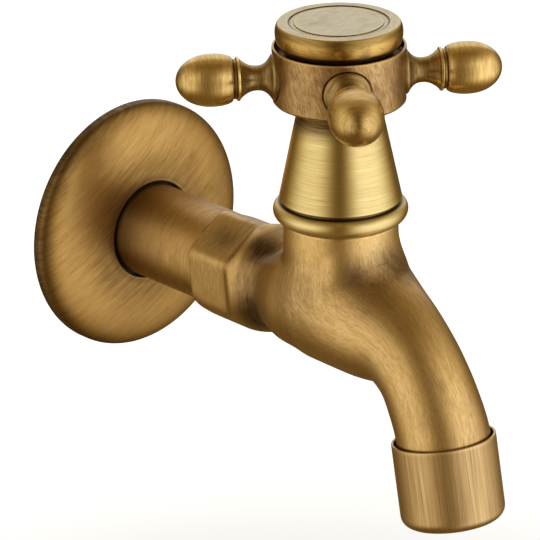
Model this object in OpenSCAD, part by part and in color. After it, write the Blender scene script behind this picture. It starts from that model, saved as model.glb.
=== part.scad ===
// Wall-mounted tap with a four-armed handle, a bell bonnet and a short swept spout.
// Lengths are in millimetres. Z points up, the wall is the plane y = 0 and the tap
// projects towards -Y. The origin is where the inlet axis meets the wall.

/* [Wall flange] */
// Outer diameter of the domed wall flange
flange_d = 62; // [56:0.5:72]
// Height of the upright rim at the edge of the flange
flange_rim_h = 2; // [1.2:0.1:3]
// Distance from the wall to the front edge of the flange hole
flange_h = 8.2; // [7.5:0.1:10]
// Thickness of the flange metal
flange_wall = 1.2; // [0.8:0.1:1.6]
// Gap all round between the flange hole and the sleeve
flange_gap = 0.97; // [0.6:0.01:1.2]
// Length of the collar inside the flange that holds the grip ring
collar_len = 5; // [4.4:0.1:5.4]
// Thickness of the rubber grip ring along the sleeve
grip_w = 1.8; // [1.2:0.1:2.4]
// Running clearance between the grip ring and the sleeve
grip_clear = 0.04; // [0.02:0.01:0.06]

/* [Inlet and sleeve] */
// Major diameter of the inlet thread
thread_d = 20.955; // [20:0.005:22]
// Pitch of the inlet thread
thread_pitch = 1.814; // [1.4:0.001:2.2]
// Length of the inlet thread beyond the wall
thread_len = 14; // [10:0.5:20]
// Depth of the inlet thread
thread_depth = 1.16; // [0.8:0.01:1.4]
// Diameter of the inlet waterway
inlet_bore_d = 13; // [10:0.1:15]
// Gap between the thread crests and the cover sleeve
sleeve_gap = 0.13; // [0.08:0.01:0.3]
// Wall of the cover sleeve
sleeve_wall = 0.92; // [0.7:0.01:1.2]
// Distance from the wall to the back of the sleeve
sleeve_back = 1.5; // [0.5:0.1:3]
// Distance from the wall to the back face of the spanner flats
hex_back = 35.7; // [34:0.1:40]
// Size across the spanner flats
hex_af = 22.6; // [22:0.1:24]
// Length of the spanner flats
hex_len = 13.6; // [10:0.1:14]
// Diameter of the round barrel that the spanner flats are cut into
barrel_body_d = 26.6; // [26.4:0.1:27.4]
// Turn of the spanner flats about the inlet axis in degrees
hex_turn = 5; // [0:0.5:10]

/* [Body] */
// Distance from the wall to the spindle axis
reach = 77.35; // [75:0.05:82]
// Diameter of the waist between the barrel and the bulb
waist_d = 22.6; // [22:0.1:24.5]
// Distance from the wall to the waist
waist_y = 62; // [60.5:0.1:62.5]
// Diameter of the bulb where the spout, neck and inlet meet
bulb_d = 33.4; // [32:0.1:35]
// Height of the bulb centre over the inlet axis
bulb_z = 3.4; // [2:0.1:4]
// Radius of the hollow fillet between the bulb and the neck
neck_fillet = 6; // [4:0.5:8]
// Diameter of the neck under the bonnet
neck_d = 27; // [26.4:0.1:28]
// Height of the top of the neck over the inlet axis
neck_top = 22.3; // [21.5:0.1:26]
// Diameter of the spout at its narrowest
spout_d = 20.8; // [20.4:0.1:21.6]
// Diameter of the spout where it enters the nozzle
spout_end_d = 22; // [21.6:0.1:22.4]
// Distance from the spindle axis forward to the nozzle rim centre
outlet_fwd = 34.9; // [33:0.1:38]
// Drop from the inlet axis to the nozzle rim centre
outlet_drop = 23.1; // [22:0.1:27]
// Forward tilt of the nozzle from upright in degrees
outlet_tilt = 10.4; // [6:0.1:14]
// Diameter of the waterway through the spout
spout_bore_d = 10; // [9:0.1:11]
// Diameter of the passage that leads from the inlet to the valve seat
passage_d = 7.2; // [6:0.1:7.6]
// Diameter of the valve seat hole
seat_bore_d = 8.4; // [7.8:0.1:8.8]

/* [Nozzle] */
// Outer diameter of the nozzle shell
nozzle_d = 24.5; // [24:0.1:26]
// Length of the nozzle shell
nozzle_len = 19.5; // [18:0.1:22]
// Rounding of the bottom edge of the nozzle shell
nozzle_round = 2.4; // [1.2:0.1:3]
// Wall of the nozzle shell at its top rim
nozzle_rim = 0.6; // [0.5:0.05:0.8]
// Major diameter of the spout thread inside the nozzle shell
spigot_d = 20.2; // [19.8:0.1:20.5]
// Length of the threaded end of the spout inside the nozzle shell
spigot_len = 8.5; // [7:0.1:9]
// Diameter of the nozzle mouth
mouth_d = 17.6; // [16:0.1:18]

/* [Bonnet] */
// Largest diameter of the bead under the bonnet
bead_d = 31.6; // [31:0.1:33]
// Height of the bead ring
bead_h = 4.45; // [4:0.05:5]
// Width of the dark groove between the bead and the bonnet
groove_w = 0.85; // [0.6:0.05:1.2]
// Depth of the groove between the bead and the bonnet
groove_depth = 0.75; // [0.4:0.05:0.9]
// Diameter of the bonnet at its bottom edge
bonnet_base_d = 28.7; // [28.2:0.1:29.4]
// Diameter of the bonnet below its top edge
bonnet_top_d = 19.2; // [18.6:0.1:21]
// Height of the bonnet
bonnet_h = 23.3; // [22:0.1:26]
// Wall of the bonnet
bonnet_wall = 1.2; // [1:0.1:1.3]
// Running gap between the bonnet and the handle hub
hub_gap = 0.6; // [0.4:0.05:1]

/* [Valve] */
// Diameter of the spindle
spindle_d = 8; // [7.6:0.1:8.4]
// Running clearance round the spindle
spindle_clear = 0.04; // [0.02:0.01:0.08]
// Diameter of the ceramic discs
disc_d = 15.6; // [15.2:0.1:15.8]
// Thickness of the fixed ceramic disc
fixed_disc_h = 3; // [2.6:0.1:3.2]
// Thickness of the moving ceramic disc
moving_disc_h = 2.8; // [2.4:0.1:3]
// Thickness of the rubber seat seal
seat_seal_h = 2.4; // [2:0.1:2.6]
// Diameter of the valve housing barrel
barrel_d = 18; // [17.8:0.1:18.4]
// Thread diameter of the valve housing
housing_d = 20.8; // [20.6:0.1:21]
// Size across the flats of the valve housing
housing_af = 20; // [19:0.1:20.6]
// Height of the valve housing flats
housing_hex_h = 4.5; // [4:0.1:6]
// Diameter of the stem at the top of the valve housing
stem_d = 12; // [11.6:0.1:12.4]
// Section diameter of the spindle seals
spindle_seal_d = 1; // [0.9:0.02:1.06]

/* [Handle] */
// Diameter of the handle hub
hub_d = 31.1; // [30.6:0.1:33]
// Height of the handle hub
hub_h = 13.5; // [12.8:0.1:14.5]
// Wall of the hub rim round the cap recess
hub_rim = 0.6; // [0.5:0.05:0.8]
// Depth of the cap recess in the hub
recess_depth = 2.4; // [2:0.1:2.6]
// Turn of the closed handle about the spindle axis in degrees
handle_turn = 35; // [0:1:89]
// Distance from the spindle axis to the tip of each arm
arm_reach = 37.9; // [36:0.1:44]
// Diameter of the foot of each arm where it meets the hub
arm_foot_d = 11; // [10.4:0.1:11.4]
// Diameter of the narrow neck of each arm
arm_neck_d = 5.8; // [5.2:0.1:7]
// Diameter of the thin collar behind each knob
arm_collar_d = 10.3; // [9.8:0.1:11]
// Diameter of the egg-shaped knob on each arm
knob_d = 12.4; // [12:0.1:13.6]
// Length of the knob from its groove to its tip
knob_len = 13.2; // [12.4:0.1:14]
// Diameter of the threaded stud of each arm
stud_d = 6; // [5:0.1:6.4]

/* [Cap] */
// Largest diameter of the bulging cap
cap_d = 29.6; // [29:0.1:29.7]
// Height of the cap over the rim of the hub
cap_h = 5.6; // [5:0.1:7]
// Diameter of the flat top of the cap
cap_top_d = 27.6; // [27:0.1:28]
// Outer diameter of the ring groove in the cap
cap_groove_d = 23.3; // [22:0.1:24]
// Diameter of the index plate inside the ring groove
plate_d = 20.9; // [20:0.1:21.4]
// Depth of the ring groove in the cap
cap_groove_depth = 0.7; // [0.4:0.1:0.9]

/* [Hidden] */
$fn = 96;
cut = 0.5;

brass = "#a8833f";
pale_brass = "#c9a860";
hub_brass = "#a07a50";
rubber_black = "#2b2926";
ceramic_white = "#dcd8cc";
steel_grey = "#8d8f90";
cage_grey = "#b9b8b0";
cap_champagne = "#b9b08e";

// Inlet, sleeve and flange sizes that follow the driving ones
shank_d = thread_d - 0.7;
sleeve_bore_d = thread_d + 2 * sleeve_gap;
sleeve_d = sleeve_bore_d + 2 * sleeve_wall;
flange_hole_d = sleeve_d + 2 * flange_gap;
thread_shown = 1.2;
crest_w = thread_pitch * 0.3;
collar_wall = 2.1;
grip_seat = 0.9;
grip_front = flange_h - 2.2;
hex_front = hex_back + hex_len;
hex_runout = 2.4;
barrel_r = barrel_body_d / 2;
barrel_front = hex_front + 2.2;
waist_end = max(waist_y + 1, reach - bulb_d * 0.28);

// Spindle axis heights, measured from the inlet axis
chamber_z = 0;
chamber_r = 9.9;
ledge_z = 12;
housing_clear = 0.05;
neck_bore_r = housing_d / 2 + housing_clear;
passage_z = -5.2;
passage_y = reach - 10;
disc_base = chamber_z + seat_seal_h;
disc_mid = disc_base + fixed_disc_h;
disc_top = disc_mid + moving_disc_h;
driver_h = 2.8;
driver_w = 8.8;
washer_h = 0.8;
run_gap = 0.05;
driver_top = disc_top + driver_h;
washer_top = driver_top + washer_h + run_gap;
bead_z = neck_top + 2.75;
bead_top = neck_top + bead_h;
bonnet_z = bead_top + groove_w;
bonnet_top = bonnet_z + bonnet_h;
bonnet_seat_r = bonnet_base_d / 2 - groove_depth;
housing_flange_h = 1.9;
housing_flange_r = 12.2;
stem_base = bonnet_z + housing_flange_h + housing_hex_h;
stem_top = bonnet_top - 1.9;
bonnet_lid = 3.2;
clip_h = 0.8;
clip_d = stem_d - 1.2;
hub_z = bonnet_top + hub_gap;
hub_top = hub_z + hub_h;
recess_z = hub_top - recess_depth;
arm_z = hub_z + hub_h * 0.474;
web_z = arm_z - 1.2;
web_h = 1.8;
pocket_r = 6.2;
spline_d = 8.6;
spline_clear = 0.06;
spindle_top = web_z;
cap_z = recess_z;
cap_top = hub_top + cap_h;
plate_spigot = 2.3;

// Handle arm stations, measured from the spindle axis along the arm
foot_seat = hub_d / 2 - 1.2;
foot_gap = 0.12;
knob_back = arm_reach - knob_len;
collar_back = knob_back - 1.5;
neck_mid = knob_back - 5.4;
stud_in = foot_seat - 5.2;

// Seals, screw and aerator
lower_seal_z = washer_top + 5;
upper_seal_z = lower_seal_z + 4;
seal_groove_w = spindle_seal_d + 0.3;
seal_groove_r = spindle_d / 2 - spindle_seal_d + 0.02;
screw_d = 4;
screw_head_d = 7.8;
screw_head_h = 2.4;
screw_len = 12;
spigot_clear = 0.05;
skirt_depth = 3.2;
skirt_gap_r = nozzle_d / 2 - nozzle_rim;
aerator_washer_h = 1.6;
screen_h = 0.6;
lip_h = 2.2;
cage_d = spigot_d - 0.6;

// Centre line of the spout: stations on the way from the bulb to the nozzle rim.
// Each holds the share of the way forward, of the way down, and of the swelling left.
spout_stations = [
  [0, 0, 1], [0.31, 0.13, 0.55], [0.57, 0.22, 0.15], [0.77, 0.42, 0.02], [0.91, 0.7, 0], [1, 1, 0]
];
spout_steps = 5;
spout_sides = 40;
spout_lead = 17;
rim_point = [reach + outlet_fwd, -outlet_drop];
outlet_dir = [sin(outlet_tilt), -cos(outlet_tilt)];
bulb_point = [reach, bulb_z];
spout_last = len(spout_stations) - 1;
function swell(k) =
  let (h = spout_stations[k][2], end = k == spout_last ? 1 : k == spout_last - 1 ? 0.5 : 0)
  spout_d / 2 + (bulb_d - spout_d) / 2 * h + (spout_end_d - spout_d) / 2 * end;
// Station k as [forward, up, radius], with one extra station past each end
function station(k) =
  k < 0 ? 2 * station(0) - station(1)
  : k > spout_last ? [
      station(k - 2)[0] + spout_lead * outlet_dir[0],
      station(k - 2)[1] + spout_lead * outlet_dir[1],
      spout_end_d / 2
    ]
  : [
      bulb_point[0] + (rim_point[0] - bulb_point[0]) * spout_stations[k][0],
      bulb_point[1] + (rim_point[1] - bulb_point[1]) * spout_stations[k][1],
      swell(k)
    ];
// A smooth curve through the stations, and its direction, at s stations from the bulb
function spout_at(s) =
  let (k = min(floor(s), spout_last - 1), u = s - k)
  0.5 * ((-u * u * u + 2 * u * u - u) * station(k - 1) + (3 * u * u * u - 5 * u * u + 2) * station(k)
    + (-3 * u * u * u + 4 * u * u + u) * station(k + 1) + (u * u * u - u * u) * station(k + 2));
function spout_slope(s) =
  let (k = min(floor(s), spout_last - 1), u = s - k,
    d = (-3 * u * u + 4 * u - 1) * station(k - 1) + (9 * u * u - 10 * u) * station(k)
      + (-9 * u * u + 8 * u + 1) * station(k + 1) + (3 * u * u - 2 * u) * station(k + 2),
    v = [d[0], d[1]])
  v / norm(v);
// One ring of points square to the centre line, as [x, y, z] in the tap's frame
function spout_ring(s) =
  let (p = spout_at(s), t = spout_slope(s))
  [for (i = [0:spout_sides - 1])
    let (a = 360 * i / spout_sides)
    [p[2] * cos(a), -(p[0] + p[2] * sin(a) * t[1]), p[1] - p[2] * sin(a) * t[0]]];

// Waterway points through the spout, as distance forward of the wall and height
bore_mid = [spout_at(2)[0], spout_at(2)[1]];
bore_low = [spout_at(3.4)[0], spout_at(3.4)[1]];

// An arc about [cx, cy] from angle a0 to a1
function arc(cx, cy, r, a0, a1, steps) =
  [for (i = [0:steps]) let (a = a0 + (a1 - a0) * i / steps) [cx + r * cos(a), cy + r * sin(a)]];
// A smooth step between two values, for flared outlines
function ease(a, b, u) = a + (b - a) * (3 * u * u - 2 * u * u * u);

// Turns a piece drawn along +Z so that it runs forward from the wall along -Y
module forward() {
  rotate([90, 0, 0]) children();
}

// Places a piece on the spindle axis at a height over the inlet axis
module on_spindle(z = 0) {
  translate([0, -reach, z]) children();
}

// Places a piece on the nozzle axis, with +Z along the flow and zero at the rim
module on_nozzle(z = 0) {
  translate([0, -rim_point[0], rim_point[1]])
    rotate([180 - outlet_tilt, 0, 0])
      translate([0, 0, z]) children();
}

// A straight round bar between two points of the plane x = 0, given as [forward, up]
module bar(a, b, r) {
  d = b - a;
  translate([0, -a[0], a[1]])
    rotate([atan2(d[0], d[1]), 0, 0]) cylinder(r = r, h = norm(d));
}

module ring(outer, inner, h) {
  difference() {
    cylinder(r = outer, h = h);
    translate([0, 0, -cut]) cylinder(r = inner, h = h + 2 * cut);
  }
}

// Inlet thread as rings of one pitch, each with a flat crest
module inlet_thread() {
  turns = floor((thread_len + thread_shown) / thread_pitch);
  flank = (thread_pitch - crest_w) / 2;
  root_r = thread_d / 2 - thread_depth;
  rotate([-90, 0, 0])
    translate([0, 0, -thread_shown])
      difference() {
        union() {
          cylinder(r = root_r, h = thread_len + thread_shown);
          for (i = [0:turns - 1])
            translate([0, 0, i * thread_pitch])
              rotate_extrude()
                polygon([
                  [root_r - 1, 0],
                  [root_r, 0],
                  [thread_d / 2, flank],
                  [thread_d / 2, flank + crest_w],
                  [root_r, thread_pitch],
                  [root_r - 1, thread_pitch]
                ]);
        }
      }
}

// Round barrel behind the bulb: a rounded back edge, a full middle and a hollow waist
module inlet_barrel() {
  steps = 12;
  back = [for (i = [0:4]) let (u = 18 * i)
    [barrel_r - 1.3 + 1.3 * sin(u), hex_back + 4.2 * (1 - cos(u))]];
  front = [for (i = [1:steps]) let (u = i / steps)
    [ease(barrel_r, waist_d / 2, u), barrel_front + (waist_y - barrel_front) * u]];
  forward()
    rotate_extrude()
      polygon(concat(
        [[0, hex_back]],
        back,
        [[barrel_r, hex_back + 6], [barrel_r, barrel_front]],
        front,
        [[waist_d / 2, waist_end], [0, waist_end]]
      ));
}

// Cutters for the four spanner flats, each with a sloped run-out in front
module spanner_cuts() {
  flat_r = hex_af / 2;
  for (i = [0:3])
    forward()
      rotate([0, 0, hex_turn + 60 * i])
        translate([0, barrel_r + 2, 0])
          rotate([90, 0, 0])
            linear_extrude(height = 2 * barrel_r + 4)
              polygon([
                [flat_r, hex_back - 1],
                [barrel_r + 3, hex_back - 1],
                [barrel_r + 3, hex_front + hex_runout * (barrel_r + 3 - flat_r) / (barrel_r - flat_r)],
                [flat_r, hex_front]
              ]);
}

// Bulb and neck as one turned shape, with a hollow fillet between them
module bulb_and_neck() {
  bulb_r = bulb_d / 2;
  neck_r = neck_d / 2;
  rise = sqrt(pow(bulb_r + neck_fillet, 2) - pow(neck_r + neck_fillet, 2));
  meet = atan2(rise, neck_r + neck_fillet);
  on_spindle(bulb_z)
    rotate_extrude()
      polygon(concat(
        [[0, -bulb_r]],
        [for (i = [1:24]) let (a = -90 + (90 + meet) * i / 24) [bulb_r * cos(a), bulb_r * sin(a)]],
        [for (i = [1:8]) let (a = meet * (1 - i / 8))
          [neck_r + neck_fillet - neck_fillet * cos(a), rise - neck_fillet * sin(a)]],
        [[neck_r, neck_top - bulb_z], [0, neck_top - bulb_z]]
      ));
}

module spout_skin() {
  count = spout_last * spout_steps;
  rings = [for (k = [0:count]) spout_ring(k / spout_steps)];
  points = concat([for (ring = rings) each ring],
    [[0, -bulb_point[0], bulb_point[1]], [0, -rim_point[0], rim_point[1]]]);
  start_hub = len(points) - 2;
  end_hub = len(points) - 1;
  n = spout_sides;
  last = count * n;
  sides = [for (k = [0:count - 1]) for (i = [0:n - 1])
    each let (a = k * n + i, b = k * n + (i + 1) % n)
      [[a, b, b + n], [a, b + n, a + n]]];
  start_cap = [for (i = [0:n - 1]) [start_hub, (i + 1) % n, i]];
  end_cap = [for (i = [0:n - 1]) [end_hub, last + i, last + (i + 1) % n]];
  polyhedron(points = points, faces = concat(sides, start_cap, end_cap), convexity = 6);
}

// Threaded end of the spout that the nozzle shell screws on to
module spigot() {
  pitch = 1;
  turns = floor((spigot_len - skirt_depth) / pitch);
  root_r = spigot_d / 2 - 0.5;
  on_nozzle(-1) cylinder(r = root_r, h = spigot_len + 1);
  on_nozzle(-0.2) cylinder(r = spout_end_d / 2 - 0.02, h = 1.4);
  on_nozzle(skirt_depth)
    for (i = [0:turns - 1])
      translate([0, 0, i * pitch])
        rotate_extrude()
          polygon([
            [root_r - 1, 0],
            [root_r, 0],
            [spigot_d / 2, 0.35],
            [spigot_d / 2, 0.65],
            [root_r, pitch],
            [root_r - 1, pitch]
          ]);
}

// Waterways: in from the wall, up through the seat, and out through the spout
module waterways() {
  inlet_end = hex_front + 1;
  pass_r = passage_d / 2;
  seat_r = seat_bore_d / 2;
  bore_r = spout_bore_d / 2;
  forward()
    translate([0, 0, -thread_len - cut]) cylinder(d = inlet_bore_d, h = thread_len + cut + inlet_end);
  bar([inlet_end - 3, -1.5], [passage_y, passage_z], pass_r);
  bar([passage_y, passage_z], [reach, passage_z], pass_r - 0.02);
  translate([0, -passage_y, passage_z]) sphere(r = pass_r + 0.03);
  on_spindle(passage_z) sphere(r = seat_r);
  on_spindle(passage_z) cylinder(r = seat_r - 0.03, h = cut - passage_z);
  bar([reach + 4, 9.5], bore_mid, bore_r);
  bar(bore_mid, bore_low, bore_r - 0.02);
  bar(bore_low, rim_point + outlet_dir, bore_r - 0.04);
  translate([0, -bore_mid[0], bore_mid[1]]) sphere(r = bore_r + 0.03);
  translate([0, -bore_low[0], bore_low[1]]) sphere(r = bore_r + 0.02);
  on_nozzle(-cut) cylinder(r = bore_r + 0.05, h = spigot_len + 2 * cut);
  on_nozzle(spigot_len - 1.5) cylinder(r1 = bore_r, r2 = bore_r + 1.6, h = 1.6);
}

// Chamber in the neck that takes the valve housing
module valve_chamber() {
  on_spindle(chamber_z) cylinder(r = chamber_r, h = neck_top + cut);
  on_spindle(ledge_z) cylinder(r = neck_bore_r, h = neck_top);
}

module tap_body() {
  color(brass)
    difference() {
      union() {
        inlet_thread();
        forward()
          translate([0, 0, thread_shown - 0.4]) cylinder(d = shank_d, h = hex_back - thread_shown + 1);
        difference() {
          inlet_barrel();
          spanner_cuts();
        }
        bulb_and_neck();
        spout_skin();
        spigot();
      }
      waterways();
      valve_chamber();
    }
}

module cover_sleeve() {
  color(brass)
    forward()
      translate([0, 0, sleeve_back]) ring(sleeve_d / 2, sleeve_bore_d / 2, hex_back - sleeve_back);
}

// Domed shell with an upright rim, and a collar inside it for the grip ring
module wall_flange() {
  inner_rim_r = flange_d / 2 - flange_wall;
  color(brass)
    forward()
      difference() {
        union() {
          rotate_extrude($fn = 128)
            polygon(concat(
              [[flange_d / 2, 0]],
              dome_outline(flange_d / 2, flange_rim_h, flange_hole_d / 2, flange_h),
              [[flange_hole_d / 2, flange_h - flange_wall]],
              dome_back(inner_rim_r, flange_rim_h - 0.5, flange_hole_d / 2, flange_h - flange_wall),
              [[inner_rim_r, 0]]
            ));
          translate([0, 0, flange_h - 0.6 - collar_len])
            ring(flange_hole_d / 2 + collar_wall, flange_hole_d / 2, collar_len);
        }
        translate([0, 0, grip_front - grip_w - 0.1])
          cylinder(r = flange_hole_d / 2 + grip_seat, h = grip_w + 0.2);
      }
}

// Outline of the dome from the rim up to the hole edge, as [radius, distance from the wall]
function dome_outline(rim_r, rim_h, hole_r, top_h) =
  [for (i = [0:20]) let (u = 90 * i / 20)
    [hole_r + (rim_r - hole_r) * pow(cos(u), 1.6), rim_h + (top_h - rim_h) * sin(u)]];
function dome_back(rim_r, rim_h, hole_r, top_h) =
  [for (i = [20:-1:0]) let (u = 90 * i / 20)
    [hole_r + (rim_r - hole_r) * pow(cos(u), 1.6), rim_h + (top_h - rim_h) * sin(u)]];

module flange_grip_ring() {
  inner = sleeve_d / 2 + grip_clear;
  outer = flange_hole_d / 2 + grip_seat - 0.03;
  color(rubber_black)
    forward()
      translate([0, 0, grip_front - grip_w]) ring(outer, inner, grip_w);
}

// Nozzle shell: a thin skirt round the spout, a threaded middle and a rounded mouth
module nozzle_shell() {
  bore_r = spigot_d / 2 + spigot_clear;
  color(pale_brass)
    on_nozzle()
      difference() {
        rotate_extrude()
          polygon(concat(
            [[0, 0], [nozzle_d / 2 - 0.25, 0], [nozzle_d / 2, 0.3]],
            arc(nozzle_d / 2 - nozzle_round, nozzle_len - nozzle_round, nozzle_round, 0, 90, 8),
            [[0, nozzle_len]]
          ));
        translate([0, 0, -cut]) cylinder(r = skirt_gap_r, h = skirt_depth + cut);
        cylinder(r = bore_r, h = nozzle_len - lip_h);
        translate([0, 0, -cut]) cylinder(d = mouth_d, h = nozzle_len + 2 * cut);
      }
}

module aerator_washer() {
  color(rubber_black)
    on_nozzle(spigot_len) ring(cage_d / 2, spout_bore_d / 2 + 0.6, aerator_washer_h);
}

// Cage that holds the screen in the mouth, with a cross web inside
module aerator_cage() {
  top = spigot_len + aerator_washer_h;
  cage_h = nozzle_len - lip_h - top - screen_h;
  color(cage_grey)
    on_nozzle(top) {
      difference() {
        cylinder(d = cage_d, h = cage_h);
        translate([0, 0, 1]) cylinder(d = cage_d - 2.4, h = cage_h);
        for (i = [0:7])
          rotate([0, 0, 45 * i]) translate([cage_d * 0.3, 0, -cut]) cylinder(d = 2.6, h = 2);
        translate([0, 0, -cut]) cylinder(d = 4, h = 2);
      }
      intersection() {
        translate([0, 0, 0.9]) cylinder(d = cage_d - 2, h = cage_h - 0.9);
        for (a = [0, 90])
          rotate([0, 0, a]) translate([-cage_d / 2, -0.4, 0.9]) cube([cage_d, 0.8, cage_h - 0.9]);
      }
    }
}

// Fine screen under the cage, drawn with a coarse pattern of square holes
module aerator_screen() {
  pitch = 2.2;
  hole = 1.6;
  reach_r = mouth_d / 2 - 0.4;
  n = ceil(reach_r / pitch);
  color(steel_grey)
    on_nozzle(nozzle_len - lip_h - screen_h)
      difference() {
        cylinder(d = cage_d, h = screen_h);
        for (ix = [-n:n])
          for (iy = [-n:n])
            if (norm([ix, iy]) * pitch < reach_r - hole * 0.6)
              translate([ix * pitch - hole / 2, iy * pitch - hole / 2, -cut])
                cube([hole, hole, screen_h + 2 * cut]);
      }
}

// Bead ring that sits on the neck, with a step that carries the bonnet
module bonnet_ring() {
  bead_r = bead_d / 2;
  crease_r = neck_d / 2;
  color(pale_brass)
    on_spindle()
      difference() {
        rotate_extrude()
          polygon([
            [0, neck_top],
            [crease_r, neck_top],
            for (i = [0:14]) let (a = -66 + 118 * i / 14)
              [bead_r - 2.6 + 2.6 * cos(a), bead_z + (a < 0 ? 2.6 : 2.15) * sin(a)],
            [bonnet_seat_r, bead_top],
            [bonnet_seat_r, bonnet_z],
            [0, bonnet_z]
          ]);
        translate([0, 0, neck_top - cut]) cylinder(r = neck_bore_r + 0.3, h = bonnet_z);
      }
}

// Bell-shaped bonnet over the valve housing, open below and screwed to its stem
module bonnet_bell() {
  stem_r = stem_d / 2 + housing_clear;
  color(pale_brass)
    on_spindle()
      difference() {
        rotate_extrude()
          polygon(concat(
            [[0, bonnet_z], [bonnet_base_d / 2 - 0.25, bonnet_z], [bonnet_base_d / 2, bonnet_z + 0.25]],
            arc(bonnet_top_d / 2 - 1.6, bonnet_top - 1.6, 1.6, 10, 90, 6),
            [[0, bonnet_top]]
          ));
        translate([0, 0, -0.01])
          rotate_extrude()
            polygon([
              [0, bonnet_z - cut],
              [bonnet_base_d / 2 - bonnet_wall, bonnet_z - cut],
              [bonnet_base_d / 2 - bonnet_wall, bonnet_z + housing_flange_h + 0.4],
              [bonnet_top_d / 2 - bonnet_wall, bonnet_top - bonnet_lid],
              [0, bonnet_top - bonnet_lid]
            ]);
        translate([0, 0, bonnet_z]) cylinder(r = stem_r, h = bonnet_h + cut);
      }
}

// Valve housing: a barrel with side windows, a threaded collar, flats and a stem
module valve_housing() {
  inner_r = disc_d / 2 + 0.12;
  window_h = washer_top - disc_mid - 2.4;
  color(brass)
    on_spindle()
      difference() {
        union() {
          translate([0, 0, disc_base + 0.4]) cylinder(d = barrel_d, h = ledge_z - disc_base + 2);
          translate([0, 0, ledge_z + 1.6]) cylinder(d = housing_d, h = bonnet_z - ledge_z - 1.6 + 0.4);
          translate([0, 0, bonnet_z]) cylinder(r = housing_flange_r, h = housing_flange_h);
          translate([0, 0, bonnet_z + 1])
            cylinder(d = housing_af / cos(30), h = stem_base - bonnet_z - 1, $fn = 6);
          translate([0, 0, stem_base - 0.5]) cylinder(d = stem_d, h = stem_top - stem_base + 0.5);
        }
        translate([0, 0, disc_base]) cylinder(r = inner_r, h = washer_top - disc_base);
        cylinder(r = spindle_d / 2 + spindle_clear, h = bonnet_top);
        for (a = [0, 90])
          rotate([0, 0, a])
            translate([-barrel_d, -3, disc_mid + 1.2]) cube([2 * barrel_d, 6, window_h]);
      }
}

module housing_seal() {
  color(rubber_black)
    on_spindle(ledge_z) ring(neck_bore_r - 0.1, barrel_d / 2 + 0.1, 1.6);
}

module seat_seal() {
  color(rubber_black)
    on_spindle(chamber_z) ring(barrel_d / 2 - 0.6, seat_bore_d / 2 + 0.2, seat_seal_h);
}

// Two sector-shaped ports through a ceramic disc
module disc_ports(h) {
  for (side = [0, 180])
    rotate([0, 0, side])
      translate([0, 0, -cut])
        intersection() {
          ring(disc_d / 2 - 1.6, 1.5, h + 2 * cut);
          rotate([0, 0, 6]) cube([disc_d, disc_d, h + 2 * cut]);
          rotate([0, 0, -6]) cube([disc_d, disc_d, h + 2 * cut]);
        }
}

module fixed_disc() {
  color(ceramic_white)
    on_spindle(disc_base)
      difference() {
        cylinder(d = disc_d, h = fixed_disc_h);
        disc_ports(fixed_disc_h);
      }
}

// Moving disc, shown closed: its ports stand a quarter turn from the fixed ones
module moving_disc() {
  color(ceramic_white)
    on_spindle(disc_mid)
      difference() {
        cylinder(d = disc_d, h = moving_disc_h);
        rotate([0, 0, 90]) disc_ports(moving_disc_h);
        translate([-disc_d, -1.5, moving_disc_h - 1]) cube([2 * disc_d, 3, 1 + cut]);
      }
}

// Spindle with a disc driver below, seal grooves, a clip groove and a splined head
module spindle() {
  teeth = 20;
  spline_base = stem_top + clip_h + 0.5;
  r = spindle_d / 2;
  color(brass)
    on_spindle()
      difference() {
        union() {
          intersection() {
            translate([0, 0, disc_top]) cylinder(d = disc_d - 0.6, h = driver_h);
            translate([-disc_d / 2, -driver_w / 2, disc_top]) cube([disc_d, driver_w, driver_h]);
          }
          translate([-disc_d / 2 + 0.7, -1.4, disc_top - 0.9]) cube([disc_d - 1.4, 2.8, 1.2]);
          translate([0, 0, driver_top - 0.2]) cylinder(r = r, h = spline_base - driver_top + 0.4);
          translate([0, 0, spline_base])
            linear_extrude(height = spindle_top - spline_base)
              polygon([for (i = [0:2 * teeth - 1])
                let (a = 180 * i / teeth, q = spline_d / 2 - 0.45 * (i % 2))
                [q * cos(a), q * sin(a)]]);
        }
        for (z = [lower_seal_z, upper_seal_z])
          translate([0, 0, z - seal_groove_w / 2]) ring(r + 1, seal_groove_r, seal_groove_w);
        translate([0, 0, stem_top + run_gap]) ring(r + 1, r - 0.6, clip_h + 0.1);
        translate([0, 0, spindle_top - screw_len + web_h]) cylinder(d = screw_d - 0.6, h = screw_len);
      }
}

module thrust_washer() {
  color(ceramic_white)
    on_spindle(driver_top) ring(disc_d / 2 - 0.3, spindle_d / 2 + 0.1, washer_h);
}

module spindle_seal(z) {
  color(rubber_black)
    on_spindle(z)
      rotate_extrude()
        translate([seal_groove_r + spindle_seal_d / 2 + 0.01, 0]) circle(d = spindle_seal_d, $fn = 32);
}

module lower_spindle_seal() {
  spindle_seal(lower_seal_z);
}

module upper_spindle_seal() {
  spindle_seal(upper_seal_z);
}

// Open clip that holds the spindle down in the housing
module spindle_clip() {
  color(steel_grey)
    on_spindle(stem_top + run_gap + 0.05)
      difference() {
        ring(clip_d / 2, spindle_d / 2 - 0.55, clip_h);
        translate([0, -1.6, -cut]) cube([clip_d, 3.2, clip_h + 2 * cut]);
      }
}

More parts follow.
